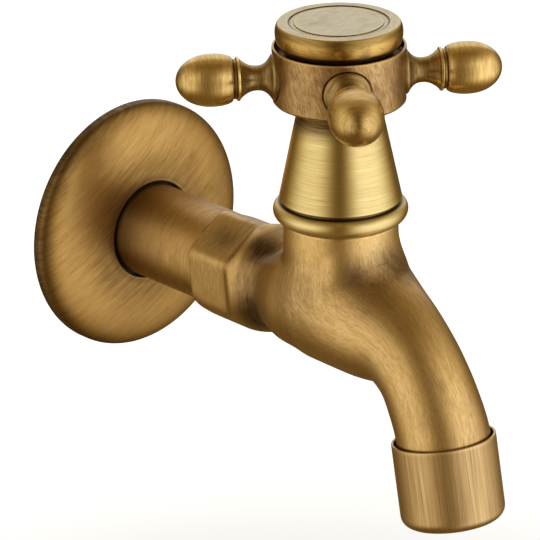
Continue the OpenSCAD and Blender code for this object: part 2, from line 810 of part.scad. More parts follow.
// Hub ring with a recess for the cap, four seats for the arms and a splined socket
module handle_hub() {
  hub_r = hub_d / 2;
  color(hub_brass)
    on_spindle()
      difference() {
        rotate_extrude()
          polygon([
            [0, hub_z],
            [hub_r - 0.5, hub_z],
            [hub_r - 0.1, hub_z + 0.5],
            [hub_r, hub_top - 0.3],
            [hub_r - 0.25, hub_top],
            [0, hub_top]
          ]);
        translate([0, 0, recess_z]) cylinder(r = hub_r - hub_rim, h = recess_depth + cut);
        translate([0, 0, web_z + web_h]) cylinder(r = pocket_r, h = hub_h);
        translate([0, 0, hub_z - cut]) cylinder(r = spline_d / 2 + spline_clear, h = web_z - hub_z + cut);
        translate([0, 0, web_z - cut]) cylinder(r = screw_d / 2 + 0.15, h = web_h + 2 * cut);
        for (i = [0:3])
          rotate([0, 0, handle_turn_from_x(i)])
            translate([0, 0, arm_z])
              rotate([0, 90, 0]) {
                translate([0, 0, foot_seat]) cylinder(r = arm_foot_d / 2 + foot_gap, h = hub_r);
                translate([0, 0, stud_in - 0.2]) cylinder(r = stud_d / 2 + 0.05, h = hub_r);
              }
      }
}

// Angle of each arm about the spindle axis: front, right, back and left
function handle_turn_from_x(i) = -90 - handle_turn + 90 * i;

// Outline of an arm as [radius, distance from the spindle axis]
function arm_outline() =
  let (foot_r = arm_foot_d / 2, neck_r = arm_neck_d / 2, collar_r = arm_collar_d / 2,
    groove_r = collar_r - 0.4, knob_r = knob_d / 2, foot_end = foot_seat + 1.1)
  concat(
    [[0, stud_in], [stud_d / 2 - 0.4, stud_in], [stud_d / 2, stud_in + 0.4], [stud_d / 2, foot_seat]],
    [[foot_r, foot_seat], [foot_r, foot_end]],
    [for (i = [1:10]) let (u = i / 10)
      [neck_r + (foot_r - neck_r) * pow(1 - u, 2.6), foot_end + (neck_mid - foot_end) * u]],
    [for (i = [1:7]) let (u = i / 7)
      [neck_r + (collar_r - 0.35 - neck_r) * pow(u, 2.2), neck_mid + (collar_back - neck_mid) * u]],
    [[collar_r, collar_back + 0.35], [collar_r, collar_back + 0.7]],
    [[groove_r, knob_back - 0.45], [groove_r, knob_back]],
    [for (i = [1:20]) let (u = i / 20)
      [knob_outline_r(u, groove_r, knob_r), knob_back + knob_len * u]]
  );
// Egg outline: widest a third of the way along and closing in a round tip
function knob_outline_r(u, r0, r1) =
  let (wide = 0.36)
  u < wide
    ? r0 + (r1 - r0) * sin(90 * u / wide)
    : r1 * sqrt(max(0, 1 - pow((u - wide) / (1 - wide), 2.15)));

module arm(i) {
  color(brass)
    on_spindle()
      rotate([0, 0, handle_turn_from_x(i)])
        translate([0, 0, arm_z])
          rotate([0, 90, 0])
            rotate_extrude($fn = 64)
              polygon(arm_outline());
}

module arm_front() {
  arm(0);
}

module arm_right() {
  arm(1);
}

module arm_back() {
  arm(2);
}

module arm_left() {
  arm(3);
}

// Pan-head screw that holds the hub down on the spindle
module handle_screw() {
  color(steel_grey)
    on_spindle(web_z + web_h)
      difference() {
        union() {
          cylinder(d = screw_head_d, h = screw_head_h - 0.6);
          translate([0, 0, screw_head_h - 0.6]) cylinder(d1 = screw_head_d, d2 = screw_head_d - 1.6, h = 0.6);
          translate([0, 0, -screw_len + 0.5]) cylinder(d = screw_d - 0.65, h = screw_len);
        }
        for (a = [0, 90])
          rotate([0, 0, a])
            translate([-2.2, -0.45, screw_head_h - 1.2]) cube([4.4, 0.9, 2]);
      }
}

// Bulging cap with a flat top, seated in the recess of the hub
module index_cap() {
  foot_r = hub_d / 2 - hub_rim - 2.4;
  swell_z = hub_top + cap_h * 0.56;
  top_in = (cap_d - cap_top_d) / 2;
  low_in = cap_d / 2 - foot_r - 0.5;
  color(cap_champagne)
    on_spindle()
      difference() {
        rotate_extrude()
          polygon(concat(
            [[0, cap_z], [foot_r, cap_z], [foot_r, hub_top - 0.4]],
            [for (i = [0:6]) let (a = -75 + 12.5 * i)
              [cap_d / 2 - low_in * (1 - cos(a)), swell_z + (swell_z - hub_top + 0.3) * sin(a)]],
            [for (i = [1:6]) let (a = 14 * i)
              [cap_d / 2 - top_in * (1 - cos(a)), swell_z + (cap_top - swell_z) * sin(a)]],
            [[cap_top_d / 2 - 0.2, cap_top], [0, cap_top]]
          ));
        translate([0, 0, cap_top - cap_groove_depth]) cylinder(d = cap_groove_d, h = cap_groove_depth + cut);
        translate([0, 0, cap_top - plate_spigot]) cylinder(d = plate_d - 3, h = plate_spigot + cut);
        translate([0, 0, cap_z - cut]) cylinder(r = foot_r - 2.8, h = cut + hub_top - cap_z + 1.4);
      }
}

// Flat plate in the middle of the cap, held by a short spigot
module index_plate() {
  color(cap_champagne)
    on_spindle() {
      translate([0, 0, cap_top - cap_groove_depth]) cylinder(d = plate_d, h = cap_groove_depth);
      translate([0, 0, cap_top - plate_spigot]) cylinder(d = plate_d - 3.06, h = plate_spigot);
    }
}

tap_body();
cover_sleeve();
wall_flange();
flange_grip_ring();
nozzle_shell();
aerator_washer();
aerator_cage();
aerator_screen();
bonnet_ring();
bonnet_bell();
valve_housing();
housing_seal();
seat_seal();
fixed_disc();
moving_disc();
spindle();
thrust_washer();
lower_spindle_seal();
upper_spindle_seal();
spindle_clip();
handle_hub();
arm_front();
arm_right();
arm_back();
arm_left();
handle_screw();
index_cap();
index_plate();
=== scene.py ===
import math

import bmesh
import bpy
import numpy as np
from mathutils import Matrix


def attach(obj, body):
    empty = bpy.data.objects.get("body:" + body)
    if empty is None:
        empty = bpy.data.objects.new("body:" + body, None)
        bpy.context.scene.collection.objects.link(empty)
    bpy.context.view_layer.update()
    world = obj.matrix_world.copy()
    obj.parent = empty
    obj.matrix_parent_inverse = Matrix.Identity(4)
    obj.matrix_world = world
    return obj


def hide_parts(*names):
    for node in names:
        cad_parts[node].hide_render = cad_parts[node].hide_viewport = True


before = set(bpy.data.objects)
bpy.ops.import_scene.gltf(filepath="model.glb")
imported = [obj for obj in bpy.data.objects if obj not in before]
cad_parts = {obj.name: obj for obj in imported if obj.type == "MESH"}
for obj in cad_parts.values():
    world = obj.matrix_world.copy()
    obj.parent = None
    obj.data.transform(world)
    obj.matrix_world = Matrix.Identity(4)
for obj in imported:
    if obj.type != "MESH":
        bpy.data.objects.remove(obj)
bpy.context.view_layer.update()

# Sizes in millimetres, with the wall at y = 0 and the tap towards -Y
MM = 0.001
REACH = 77.35
INLET_BACK = -14.0
INLET_BORE_R = 6.5
THREAD_ROOT_R = 9.3175
THREAD_DEPTH = 1.16
THREAD_PITCH = 1.814
THREAD_END = 1.2
SHANK_R = 10.1275
WALL_TO_SLEEVE_END = 35.7
SLEEVE_R = 11.53
BARREL_R = 13.3
WAIST_R = 11.3
FLAT_R = 11.6
FLAT_TURN = 5.0
FLAT_END = 49.3
FLANGE_R = 31.15
FLANGE_HOLE_R = 12.2
FLANGE_TOP = 8.2
BULB_R = 16.7
BULB_Z = 3.4
NECK_R = 13.5
NECK_TOP = 22.3
NECK_HOLLOW = 6.0
SPOUT_R = 10.4
SPOUT_END_R = 11.0
OUT_FORWARD = 34.9
OUT_DROP = 23.1
TILT = math.radians(10.4)
NOZZLE_R = 12.25
NOZZLE_LENGTH = 19.35
SKIRT_TOP = -0.8
HUB_R = 15.5
HUB_LOW = 52.0
HUB_HIGH = 64.7
ARM_Z = 57.9
ARM_TURN = 35.0
FOOT_R = 5.5
CAP_R = 14.8
CAP_TOP = 70.6
GROOVE_FLOOR = 70.42
PLATE_R = 10.45

# Camera: turned and raised round the tap in degrees, its roll, how far it stands and where it looks
CAMERA_TURN = -40.97
CAMERA_RISE = 21.81
CAMERA_ROLL = -0.93
CAMERA_AWAY = 1.0
CAMERA_AT = (0.0, -0.05191, 0.00187)
LENS = 278.62


# Places of round pieces: origin, two sides and axis, right handed

def place(origin, along, side=(1.0, 0.0, 0.0)):
    """Frame of a round piece: where its profile starts, its two side directions and its axis."""
    along = np.array(along, float) / np.linalg.norm(along)
    side = np.array(side, float)
    return np.array(origin, float), side, np.cross(along, side), along


OUT_DIR = (0.0, -math.sin(TILT), -math.cos(TILT))
RIM_POINT = (0.0, -REACH - OUT_FORWARD, -OUT_DROP)
ON_INLET = place((0, 0, 0), (0, -1, 0))
ON_SPINDLE = place((0, -REACH, 0), (0, 0, 1))
DOWN_NECK = place((0, -REACH, 0), (0, 0, -1))
ON_NOZZLE = place(RIM_POINT, OUT_DIR)


def on_arm(turn):
    """Frame of an arm whose axis leaves the spindle at an angle from +X, in degrees."""
    a = math.radians(turn)
    return place((0, -REACH, ARM_Z), (math.cos(a), math.sin(a), 0), (-math.sin(a), math.cos(a), 0))


# Profiles and grids

def room(run, own, other):
    """How much of a run the cut of one corner may use: what the cut at its other end leaves free, or
    its share of the run where the two don't fit."""
    if own + other < run:
        return max(0.48 * run, run - 1.1 * other)
    return 0.96 * run * own / max(own + other, 1e-9)


def rounded(corners, step=0.8):
    """A profile through corners of [radius, height, rounding]. The arc at a corner is part of a circle
    that touches both runs: a blend of the arc's two ends and the corner, in which the corner counts
    with the sine of half its angle. A close point beside each arc keeps the shading crisp."""
    pts = [np.array(c[:2], float) for c in corners]
    runs = [np.linalg.norm(b - a) for a, b in zip(pts[:-1], pts[1:])]
    halves, cuts = [0.0] * len(pts), [0.0] * len(pts)
    for k in range(1, len(pts) - 1):
        back, ahead = (pts[k - 1] - pts[k]) / runs[k - 1], (pts[k + 1] - pts[k]) / runs[k]
        halves[k] = 0.5 * math.acos(max(-1.0, min(1.0, float(back @ ahead))))
        cuts[k] = corners[k][2] / math.tan(halves[k]) if halves[k] < 1.55 else 0.0
    line = [pts[0]]
    for k in range(1, len(pts) - 1):
        p, half, run_back, run_ahead = pts[k], halves[k], runs[k - 1], runs[k]
        back, ahead = (pts[k - 1] - p) / run_back, (pts[k + 1] - p) / run_ahead
        cut = min(cuts[k], room(run_back, cuts[k], cuts[k - 1]), room(run_ahead, cuts[k], cuts[k + 1]))
        if cut < 1e-4:
            line.append(p)
            continue
        t = np.linspace(0, 1, max(3, int((math.pi - 2 * half) / 0.2)) + 1)[:, None]
        w0, w1, w2 = (1 - t) ** 2, 2 * t * (1 - t) * math.sin(half), t ** 2
        arc = (w0 * (p + back * cut) + w1 * p + w2 * (p + ahead * cut)) / (w0 + w1 + w2)
        close = 1.6 * cut
        if close < 0.49 * run_back:
            line.append(p + back * close)
        line.extend(arc)
        if close < 0.49 * run_ahead:
            line.append(p + ahead * close)
    line.append(pts[-1])
    return spaced(np.array(line), step)


def spaced(line, step):
    """The same line with points added so that none of its runs is longer than the step."""
    gap = np.linalg.norm(np.diff(line, axis=0), axis=1)
    line = line[np.concatenate([[True], gap > 1e-5])]
    gap = np.linalg.norm(np.diff(line, axis=0), axis=1)
    at = np.concatenate([[0.0], np.cumsum(gap)])
    marks = [np.linspace(a, b, max(1, math.ceil((b - a) / step)), endpoint=False)
             for a, b in zip(at[:-1], at[1:])]
    marks = np.append(np.concatenate(marks), at[-1])
    return np.stack([np.interp(marks, at, line[:, k]) for k in range(line.shape[1])], 1)


def run_length(line):
    """Distance along a line of points."""
    return np.concatenate([[0.0], np.cumsum(np.linalg.norm(np.diff(line, axis=0), axis=1))])


def bend_marks(line, width=0.35):
    """Wear on the outer bends of a profile and painted shade in its inner bends, from 0 to 1. The turn
    of the profile at each point is spread along it with a bell curve of the given width."""
    at = run_length(line)
    step = np.diff(line, axis=0)
    head = np.unwrap(np.arctan2(step[:, 1], step[:, 0]))
    turn = np.concatenate([[0.0], np.diff(head), [0.0]])
    spread = np.exp(-((at[:, None] - at[None, :]) / width) ** 2)
    felt = spread @ turn
    return np.clip(felt * 1.1, 0, 1), np.clip(-felt * 1.1, 0, 1)


def turned(profile, where, sides=192, start=0.0, across=True, width=0.35, dirt_and_shade=None, wear_and_highlight=None):
    """A profile of [radius, height] carried round an axis. The brush strokes run round the piece, or
    along it when across is False. Dirt and painted shade, and wear and painted highlight, come from
    functions of radius and height that add to the marks of the bends, and there is little wear where
    the piece is dark with dirt and painted shade."""
    origin, e1, e2, axis = where
    ang = np.radians(start) + np.arange(sides) * 2 * np.pi / sides
    out = np.cos(ang)[:, None] * e1 + np.sin(ang)[:, None] * e2
    r, h = profile[:, 0], profile[:, 1]
    points = origin + h[:, None, None] * axis + r[:, None, None] * out[None]
    at = run_length(profile)
    size = max(r.max(), 1.0)
    shape = points.shape
    round_xy = np.stack([np.cos(ang), np.sin(ang)], -1) * size
    stroke = np.concatenate([np.broadcast_to(round_xy, shape[:2] + (2,)),
                             np.broadcast_to(at[:, None, None], shape[:2] + (1,))], -1)
    slope = np.gradient(profile, axis=0)
    slope /= np.maximum(np.linalg.norm(slope, axis=1, keepdims=True), 1e-9)
    along = slope[:, 1][:, None, None] * axis + slope[:, 0][:, None, None] * out[None]
    round_dir = np.broadcast_to(np.cross(axis, out)[None], shape)
    worn_and_highlight, grime_and_shade = bend_marks(profile, width)
    grime_and_shade = np.clip(grime_and_shade + (dirt_and_shade(r, h) if dirt_and_shade else 0.0), 0, 1)
    worn_and_highlight = np.clip(worn_and_highlight + (wear_and_highlight(r, h) if wear_and_highlight else 0.0), 0, 1) * (1 - 0.85 * grime_and_shade)
    return dict(points=points, stroke=stroke, grain=along if across else round_dir,
                worn_and_highlight=np.broadcast_to(worn_and_highlight[:, None], shape[:2]),
                grime_and_shade=np.broadcast_to(grime_and_shade[:, None], shape[:2]))


def linked(name, data):
    """A new object in the scene."""
    obj = bpy.data.objects.new(name, data)
    bpy.context.scene.collection.objects.link(obj)
    return obj


def make_piece(name, grids, material, body, nodes):
    """One mesh from one or more grids of points, whose rows run along the piece and columns round it.
    Points that meet are merged, and the grids' brush coordinates and marks become attributes."""
    verts, faces, store, base = [], [], {"stroke": [], "grain": [], "worn_and_highlight": [], "grime_and_shade": []}, 0
    for g in grids:
        rows, cols = g["points"].shape[:2]
        index = base + np.arange(rows * cols).reshape(rows, cols)
        nxt = np.roll(index, -1, axis=1)
        verts.append(g["points"].reshape(-1, 3))
        faces.append(np.stack([index[:-1], nxt[:-1], nxt[1:], index[1:]], -1).reshape(-1, 4))
        for key in store:
            width = 3 if key in ("stroke", "grain") else 1
            store[key].append(np.asarray(g[key], float).reshape(-1, width))
        base += rows * cols
    mesh = bpy.data.meshes.new(name)
    mesh.from_pydata((np.concatenate(verts) * MM).tolist(), [], np.concatenate(faces).tolist())
    for key, parts in store.items():
        values = np.concatenate(parts).astype(np.float32).ravel()
        kind, field = ("FLOAT_VECTOR", "vector") if key in ("stroke", "grain") else ("FLOAT", "value")
        mesh.attributes.new(key, kind, "POINT").data.foreach_set(field, values)
    bm = bmesh.new()
    bm.from_mesh(mesh)
    bmesh.ops.remove_doubles(bm, verts=bm.verts, dist=2e-6)
    bmesh.ops.dissolve_degenerate(bm, edges=bm.edges, dist=1e-7)
    bmesh.ops.recalc_face_normals(bm, faces=bm.faces)
    bm.to_mesh(mesh)
    bm.free()
    mesh.polygons.foreach_set("use_smooth", np.ones(len(mesh.polygons), bool))
    mesh.materials.append(material)
    obj = linked(name, mesh)
    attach(obj, body)
    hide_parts(*nodes)


# The casting: neck, bulb and spout as one skin, and the inlet barrel that runs into it

SPOUT_STATIONS = np.array([[0, 0, 1, 0], [0.31, 0.13, 0.55, 0], [0.57, 0.22, 0.15, 0],
                           [0.77, 0.42, 0.02, 0], [0.91, 0.7, 0, 0.5], [1, 1, 0, 1]])


def spout_line(s):
    """Centre line of the spout at s stations from the bulb, as forward, up and radius: a Catmull-Rom
    curve through the stations' shares of the way forward, of the way down and of the two swellings."""
    fwd, down, bulge, flare = SPOUT_STATIONS.T
    knots = np.stack([REACH + OUT_FORWARD * fwd, BULB_Z - (BULB_Z + OUT_DROP) * down,
                      SPOUT_R + (BULB_R - SPOUT_R) * bulge + (SPOUT_END_R - SPOUT_R) * flare], 1)
    last = knots[-2] + 17 * np.array([math.sin(TILT), -math.cos(TILT), 0])
    last[2] = SPOUT_END_R
    knots = np.vstack([2 * knots[0] - knots[1], knots, last])
    s = np.asarray(s, float)
    k = np.clip(np.floor(s).astype(int), 0, 4)
    u = (s - k)[:, None]
    a, b, c, d = (knots[k + i] for i in range(4))
    return 0.5 * ((-u ** 3 + 2 * u ** 2 - u) * a + (3 * u ** 3 - 5 * u ** 2 + 2) * b
                  + (-3 * u ** 3 + 4 * u ** 2 + u) * c + (u ** 3 - u ** 2) * d)


def ease(lo, hi, x):
    """0 below lo, 1 above hi and a smooth step between them."""
    t = np.clip((x - lo) / (hi - lo), 0, 1)
    return t * t * (3 - 2 * t)


def soft_join(a, b, reach):
    """Union of two distances, filled where both are small: the smaller one, less a quarter of the
    reach times the square of how near they are to equal."""
    near = np.clip(reach - np.abs(a - b), 0, None) / np.maximum(reach, 1e-6)
    return np.minimum(a, b) - near * near * reach / 4


SPOUT_SKIN = spout_line(np.linspace(0, 5, 121))
SPOUT_SKIN = np.vstack([SPOUT_SKIN, SPOUT_SKIN[-1] + [2 * math.sin(TILT), -2 * math.cos(TILT), 0]])


def to_spout(p):
    """Distance to the spout's skin: the least, over the runs of its centre line, of the distance to
    the run less the radius there."""
    a, b = SPOUT_SKIN[:-1], SPOUT_SKIN[1:]
    run = b[:, :2] - a[:, :2]
    df, dz = p[:, 1:2] - a[:, 0], p[:, 2:3] - a[:, 1]
    t = np.clip((df * run[:, 0] + dz * run[:, 1]) / (run ** 2).sum(1), 0, 1)
    df, dz = df - t * run[:, 0], dz - t * run[:, 1]
    gap = np.sqrt(p[:, :1] ** 2 + df ** 2 + dz ** 2) - (a[:, 2] + t * (b[:, 2] - a[:, 2]))
    return gap.min(1)


def to_bulb_and_neck(p):
    """Distance to the turned bulb and neck: a sphere, a hollow fillet and a cylinder, each in its own
    sector of the section through the spindle axis."""
    rho = np.hypot(p[:, 0], p[:, 1] - REACH)
    z = p[:, 2] - BULB_Z
    side = NECK_R + NECK_HOLLOW
    rise = math.sqrt((BULB_R + NECK_HOLLOW) ** 2 - side ** 2)
    sphere = np.hypot(rho, z) - BULB_R
    hollow = NECK_HOLLOW - np.hypot(rho - side, z - rise)
    on_sphere = np.arctan2(z, rho) < math.atan2(rise, side)
    return np.where(z > rise, rho - NECK_R, np.where(on_sphere, sphere, hollow))


def to_body(p):
    """Distance to the neck, bulb and spout, with a soft hollow where the neck meets the spout."""
    reach = 5.0 * ease(8, 15, p[:, 2]) * ease(80, 88, p[:, 1])
    return soft_join(to_bulb_and_neck(p), to_spout(p), reach)


def barrel_radius(f, ang):
    """Radius of the inlet barrel by distance from the wall and angle round the inlet: a full round
    barrel with a slight taper at its back and a smooth fall to the waist, joined by a soft minimum to
    four spanner flats that rise and run out where they end."""
    back = np.clip(1 - (f - WALL_TO_SLEEVE_END) / 5.5, 0, 1)
    full = BARREL_R - 0.4 * back ** 2 + (WAIST_R - BARREL_R) * ease(51.5, 62, f)
    past = f - FLAT_END
    flat = FLAT_R + 0.4 * (past + np.sqrt(past ** 2 + 0.5))
    soft, least = 0.35, 11.0
    total = np.exp(-(full - least) / soft)
    for k in range(4):
        away = np.abs((ang - math.radians(FLAT_TURN + 60 * k) + np.pi) % (2 * np.pi) - np.pi)
        reach = flat / np.cos(np.minimum(away, 1.4))
        total = total + np.where(away < 1.4, np.exp(-(reach - least) / soft), 0.0)
    return least - soft * np.log(total)


def barrel_join(ang):
    """How wide the hollow between barrel and bulb is: wide on both sides, tight above and below."""
    up = np.sin(ang)
    return 2 + 8.5 * ease(-0.85, -0.35, up) * ease(0.98, 0.6, up)


def to_bar(p):
    """Distance to the barrel as a bar that ends inside the bulb, a little deeper at its underside."""
    ang = np.arctan2(p[:, 2], p[:, 0])
    beside = np.hypot(p[:, 0], p[:, 2]) - barrel_radius(p[:, 1], ang)
    beyond = p[:, 1] - 67 - 4 * ease(-0.3, -0.8, np.sin(ang))
    inside = np.minimum(np.maximum(beside, beyond), 0)
    return inside + np.hypot(np.maximum(beside, 0), np.maximum(beyond, 0))


def to_casting(p):
    """Distance to the whole casting near the inlet."""
    return soft_join(to_body(p), to_bar(p), barrel_join(np.arctan2(p[:, 2], p[:, 0])))


def slope_of(distance, p):
    """A distance and the direction in which it grows fastest, by small steps along each axis."""
    here = distance(p)
    grad = np.stack([distance(p + 0.02 * e) - here for e in np.eye(3)], 1)
    return here, grad / np.maximum(np.linalg.norm(grad, axis=1, keepdims=True), 1e-9)


def to_world(p):
    """Points given as [x, forward, up] in the tap's own frame."""
    return np.stack([p[..., 0], -p[..., 1], p[..., 2]], -1)


# Stains on the body: sideways, forward, up, size and darkness
BODY_STAINS = [(-8.0, 90.3, 13.6, 3.4, 0.6), (-4.5, 92.5, 14.0, 5.0, 0.3), (1.5, 91.6, 16.4, 4.2, 0.45),
               (-6.7, 96.5, 9.0, 4.5, 0.35), (-6.2, 103.0, 4.8, 5.0, 0.2), (-15.0, 76.0, 7.0, 7.5, 0.42),
               (-15.5, 80.0, -1.0, 6.0, 0.2), (8.0, 90.0, 12.0, 4.0, 0.5), (15.0, 76.0, 7.0, 7.5, 0.4),
               (3.8, 92.8, 13.8, 3.8, 0.65)]

# Stains on the barrel: distance from the wall, angle round the inlet, length, width and darkness
BARREL_STAINS = [(43.5, 126.0, 6.5, 19.0, 0.62), (56.9, 122.0, 4.0, 16.0, 0.6), (58.8, 200.0, 3.4, 26.0, 0.8)]


def stain_marks(p):
    """Darkness at each point: a bell curve of the distance from the middle of each of the stains."""
    return sum(dark * np.exp(-((p - [x, fwd, up]) ** 2).sum(-1) / size ** 2)
               for x, fwd, up, size, dark in BODY_STAINS)


def body_line():
    """Line down the neck, round the bend and along the spout, as forward and up. The bend is a cubic
    curve that leaves the neck straight down and meets the spout's centre line in its own direction."""
    neck = np.stack([np.full(14, REACH), np.linspace(NECK_TOP - 0.4, 15.5, 14)], 1)
    meet = 1.5
    end = spout_line([meet, meet + 0.02])[:, :2]
    lead = (end[1] - end[0]) / np.linalg.norm(end[1] - end[0])
    p0, p3 = neck[-1], end[0]
    p1, p2 = p0 + [0, -9.5], p3 - 8.5 * lead
    t = np.linspace(0, 1, 52)[1:-1, None]
    bend = (1 - t) ** 3 * p0 + 3 * t * (1 - t) ** 2 * p1 + 3 * t ** 2 * (1 - t) * p2 + t ** 3 * p3
    return np.vstack([neck, bend, spout_line(np.linspace(meet, 5, 74))[:, :2]])


def body_grid(sides=168):
    """Skin of the neck, bulb and spout. Rings stand square to a smooth line through the body, and each
    of their points moves out from the line by the distance to the skin, until it lies on it."""
    line = body_line()
    heading = np.gradient(line, axis=0)
    heading /= np.linalg.norm(heading, axis=1, keepdims=True)
    heading[-1] = [math.sin(TILT), -math.cos(TILT)]
    ang = np.arange(sides) * 2 * np.pi / sides
    ring_x = np.broadcast_to(np.cos(ang), (len(line), sides))
    ring_f = -heading[:, 1:2] * np.sin(ang)
    ring_z = heading[:, 0:1] * np.sin(ang)
    ray = np.stack([ring_x, ring_f, ring_z], -1).reshape(-1, 3)
    start = np.repeat(np.column_stack([np.zeros(len(line)), line]), sides, axis=0)
    out = np.full(len(ray), 6.0)
    for _ in range(26):
        out -= to_body(start + ray * out[:, None])
    p = (start + ray * out[:, None]).reshape(len(line), sides, 3)
    round_xy = np.stack([np.cos(ang), np.sin(ang)], -1) * 13
    stroke = np.concatenate([np.broadcast_to(round_xy, p.shape[:2] + (2,)),
                             np.broadcast_to(run_length(line)[:, None, None], p.shape[:2] + (1,))], -1)
    around = np.roll(p, -1, 1) - np.roll(p, 1, 1)
    around /= np.linalg.norm(around, axis=2, keepdims=True)
    return dict(points=to_world(p), stroke=stroke, grain=to_world(around), worn_and_highlight=np.zeros(p.shape[:2]),
                grime_and_shade=np.clip(stain_marks(p), 0, 0.8))


def stack(*grids):
    """Grids with the same columns, one after the other, as one grid."""
    return {key: np.concatenate([g[key] for g in grids]) for key in grids[0]}


def ringed(fwd, radius, ang):
    """Points round the inlet's axis at a distance from the wall, a radius and an angle."""
    fwd, radius, ang = np.broadcast_arrays(fwd, radius, ang)
    return np.stack([radius * np.cos(ang), fwd, radius * np.sin(ang)], -1)


def dressed(p, ang, grime_and_shade=None):
    """A grid on the inlet with strokes that run round it. Where the skin turns up to the bulb, the
    strokes' places follow its rise as well as its distance from the wall."""
    rise = np.clip(np.hypot(p[..., 0], p[..., 2]) - WAIST_R, 0, None)
    at = p[..., 1] + 0.7 * rise * ease(52, 60, p[..., 1])
    stroke = np.stack([at, np.broadcast_to(1.5 * np.cos(ang), at.shape),
                       np.broadcast_to(12 * np.sin(ang), at.shape)], -1)
    along = np.gradient(p, axis=0)
    along /= np.maximum(np.linalg.norm(along, axis=2, keepdims=True), 1e-9)
    none = np.zeros(at.shape)
    return dict(points=to_world(p), stroke=stroke, grain=to_world(along), worn_and_highlight=none,
                grime_and_shade=none if grime_and_shade is None else grime_and_shade)


def inlet_thread(ang):
    """Thread with a true helix: the radius is a clipped triangle wave of the place along the axis less
    the angle's share of a pitch, and the crests fade towards the open end."""
    h = np.arange(INLET_BACK, THREAD_END, 0.19)[:, None]
    phase = (h / THREAD_PITCH - (ang / (2 * np.pi))[None, :]) % 1.0
    tooth = np.clip(1.55 * (1 - np.abs(2 * phase - 1)) - 0.22, 0, 1)
    full = ease(INLET_BACK, INLET_BACK + 1.2, h)
    radius = THREAD_ROOT_R - 0.4 * (1 - full) + THREAD_DEPTH * tooth * (0.35 + 0.65 * full)
    return dressed(ringed(h, radius, ang), ang)


def walk_over_body(ang, width):
    """Where the bar meets the body on each line along it, and where the hollow between them ends. From
    the meeting point each line walks over the body in its plane through the inlet's axis, in short
    steps that drop back on the skin, until it is nearly as far from the bar as the hollow is wide."""
    meet = np.full(len(ang), 50.0)
    for _ in range(40):
        meet += to_body(ringed(meet, WAIST_R, ang))
    end_r, end_f = np.full(len(ang), WAIST_R), meet.copy()
    for _ in range(34):
        p = ringed(end_f, end_r, ang)
        here, slope = slope_of(to_body, p)
        lean_r, lean_f = (slope * ringed(0.0, 1.0, ang)).sum(1), slope[:, 1]
        step = np.where(to_bar(p) < 0.95 * width, 0.07 * width, 0.0)
        end_r, end_f = end_r - step * lean_f - here * lean_r, end_f + step * lean_r - here * lean_f
    return meet, end_r, end_f


def barrel_and_hollow(ang):
    """Outer skin of the barrel and of the hollow that joins it to the body. The hollow starts as a
    quadratic curve on each line, from the barrel past the meeting point to the hollow's end, and then
    moves on to the blended skin by the distance to it, against its slope. Its last rings sink into the
    body and close."""
    rows = 46
    width = barrel_join(ang)
    meet, end_r, end_f = walk_over_body(ang, width)
    near_f = meet - 1.5 * width

    share = np.concatenate([[0.0, 0.004, 0.008, 0.014], np.linspace(0.025, 1, rows)])[:, None]
    edge = np.concatenate([[0.45, 0.2, 0.08, 0.02], np.zeros(rows)])[:, None]
    f = WALL_TO_SLEEVE_END + share * (near_f - WALL_TO_SLEEVE_END)
    barrel = ringed(f, barrel_radius(f, ang) - edge, ang)

    t = np.linspace(0, 1, rows)[1:, None]
    first, middle, last = (1 - t) ** 2, 2 * t * (1 - t), t ** 2
    hollow = ringed(first * near_f + middle * meet + last * end_f,
                    first * barrel_radius(near_f, ang) + middle * WAIST_R + last * end_r, ang)
    skin = hollow.reshape(-1, 3)
    for _ in range(10):
        gap, slope = slope_of(to_casting, skin)
        skin = skin - 0.9 * gap[:, None] * slope
    hollow = skin.reshape(hollow.shape)

    rim = hollow[-1:] + 0.03 * (hollow[-1:] - hollow[-2:-1])
    slope = slope_of(to_body, rim[0])[1]
    pole = ringed(np.full((1, 1), 63.5), np.zeros((1, len(ang))), ang)
    return np.concatenate([barrel, hollow, rim, rim - 0.6 * slope[None], pole])


def barrel_stains_and_shade(skin, ang):
    """Stains and painted shade on the barrel and its hollow: the body's stains, painted shade in the waist
    where it runs into the bulb, and for each of the barrel's stains a bell curve along it and round it."""
    fwd, turn = skin[..., 1], np.degrees(ang)[None, :] % 360
    reach = np.hypot(skin[..., 0], skin[..., 2])
    # The waist is darkened with painted shade where the barrel runs into the bulb.
    grime_and_shade = stain_marks(skin) + 0.5 * ease(51.8, 54.5, fwd) * ease(16, 12.5, reach)
    for at_f, at_turn, length, width, dark in BARREL_STAINS:
        grime_and_shade = grime_and_shade + dark * np.exp(-((fwd - at_f) / length) ** 2 - ((turn - at_turn) / width) ** 2)
    return np.clip(grime_and_shade, 0, 1)


def barrel_grid(sides=288):
    """Skin of the inlet: bore, thread, shank, barrel with spanner flats, and the hollow that joins it
    to the body."""
    start = -45.0
    ang = np.radians(start) + np.arange(sides) * 2 * np.pi / sides
    bore = rounded([[0, 50, 0], [INLET_BORE_R, 50, 0], [INLET_BORE_R, INLET_BACK, 0.3],
                    [8.9, INLET_BACK, 0.2]], 8.0)
    shank = rounded([[9.32, THREAD_END, 0], [SHANK_R, 1.6, 0.1], [SHANK_R, WALL_TO_SLEEVE_END, 0],
                     [10.4, WALL_TO_SLEEVE_END, 0]], 8.0)
    skin = barrel_and_hollow(ang)
    return stack(turned(bore, ON_INLET, sides, start), inlet_thread(ang),
                 turned(shank, ON_INLET, sides, start), dressed(skin, ang, barrel_stains_and_shade(skin, ang)))


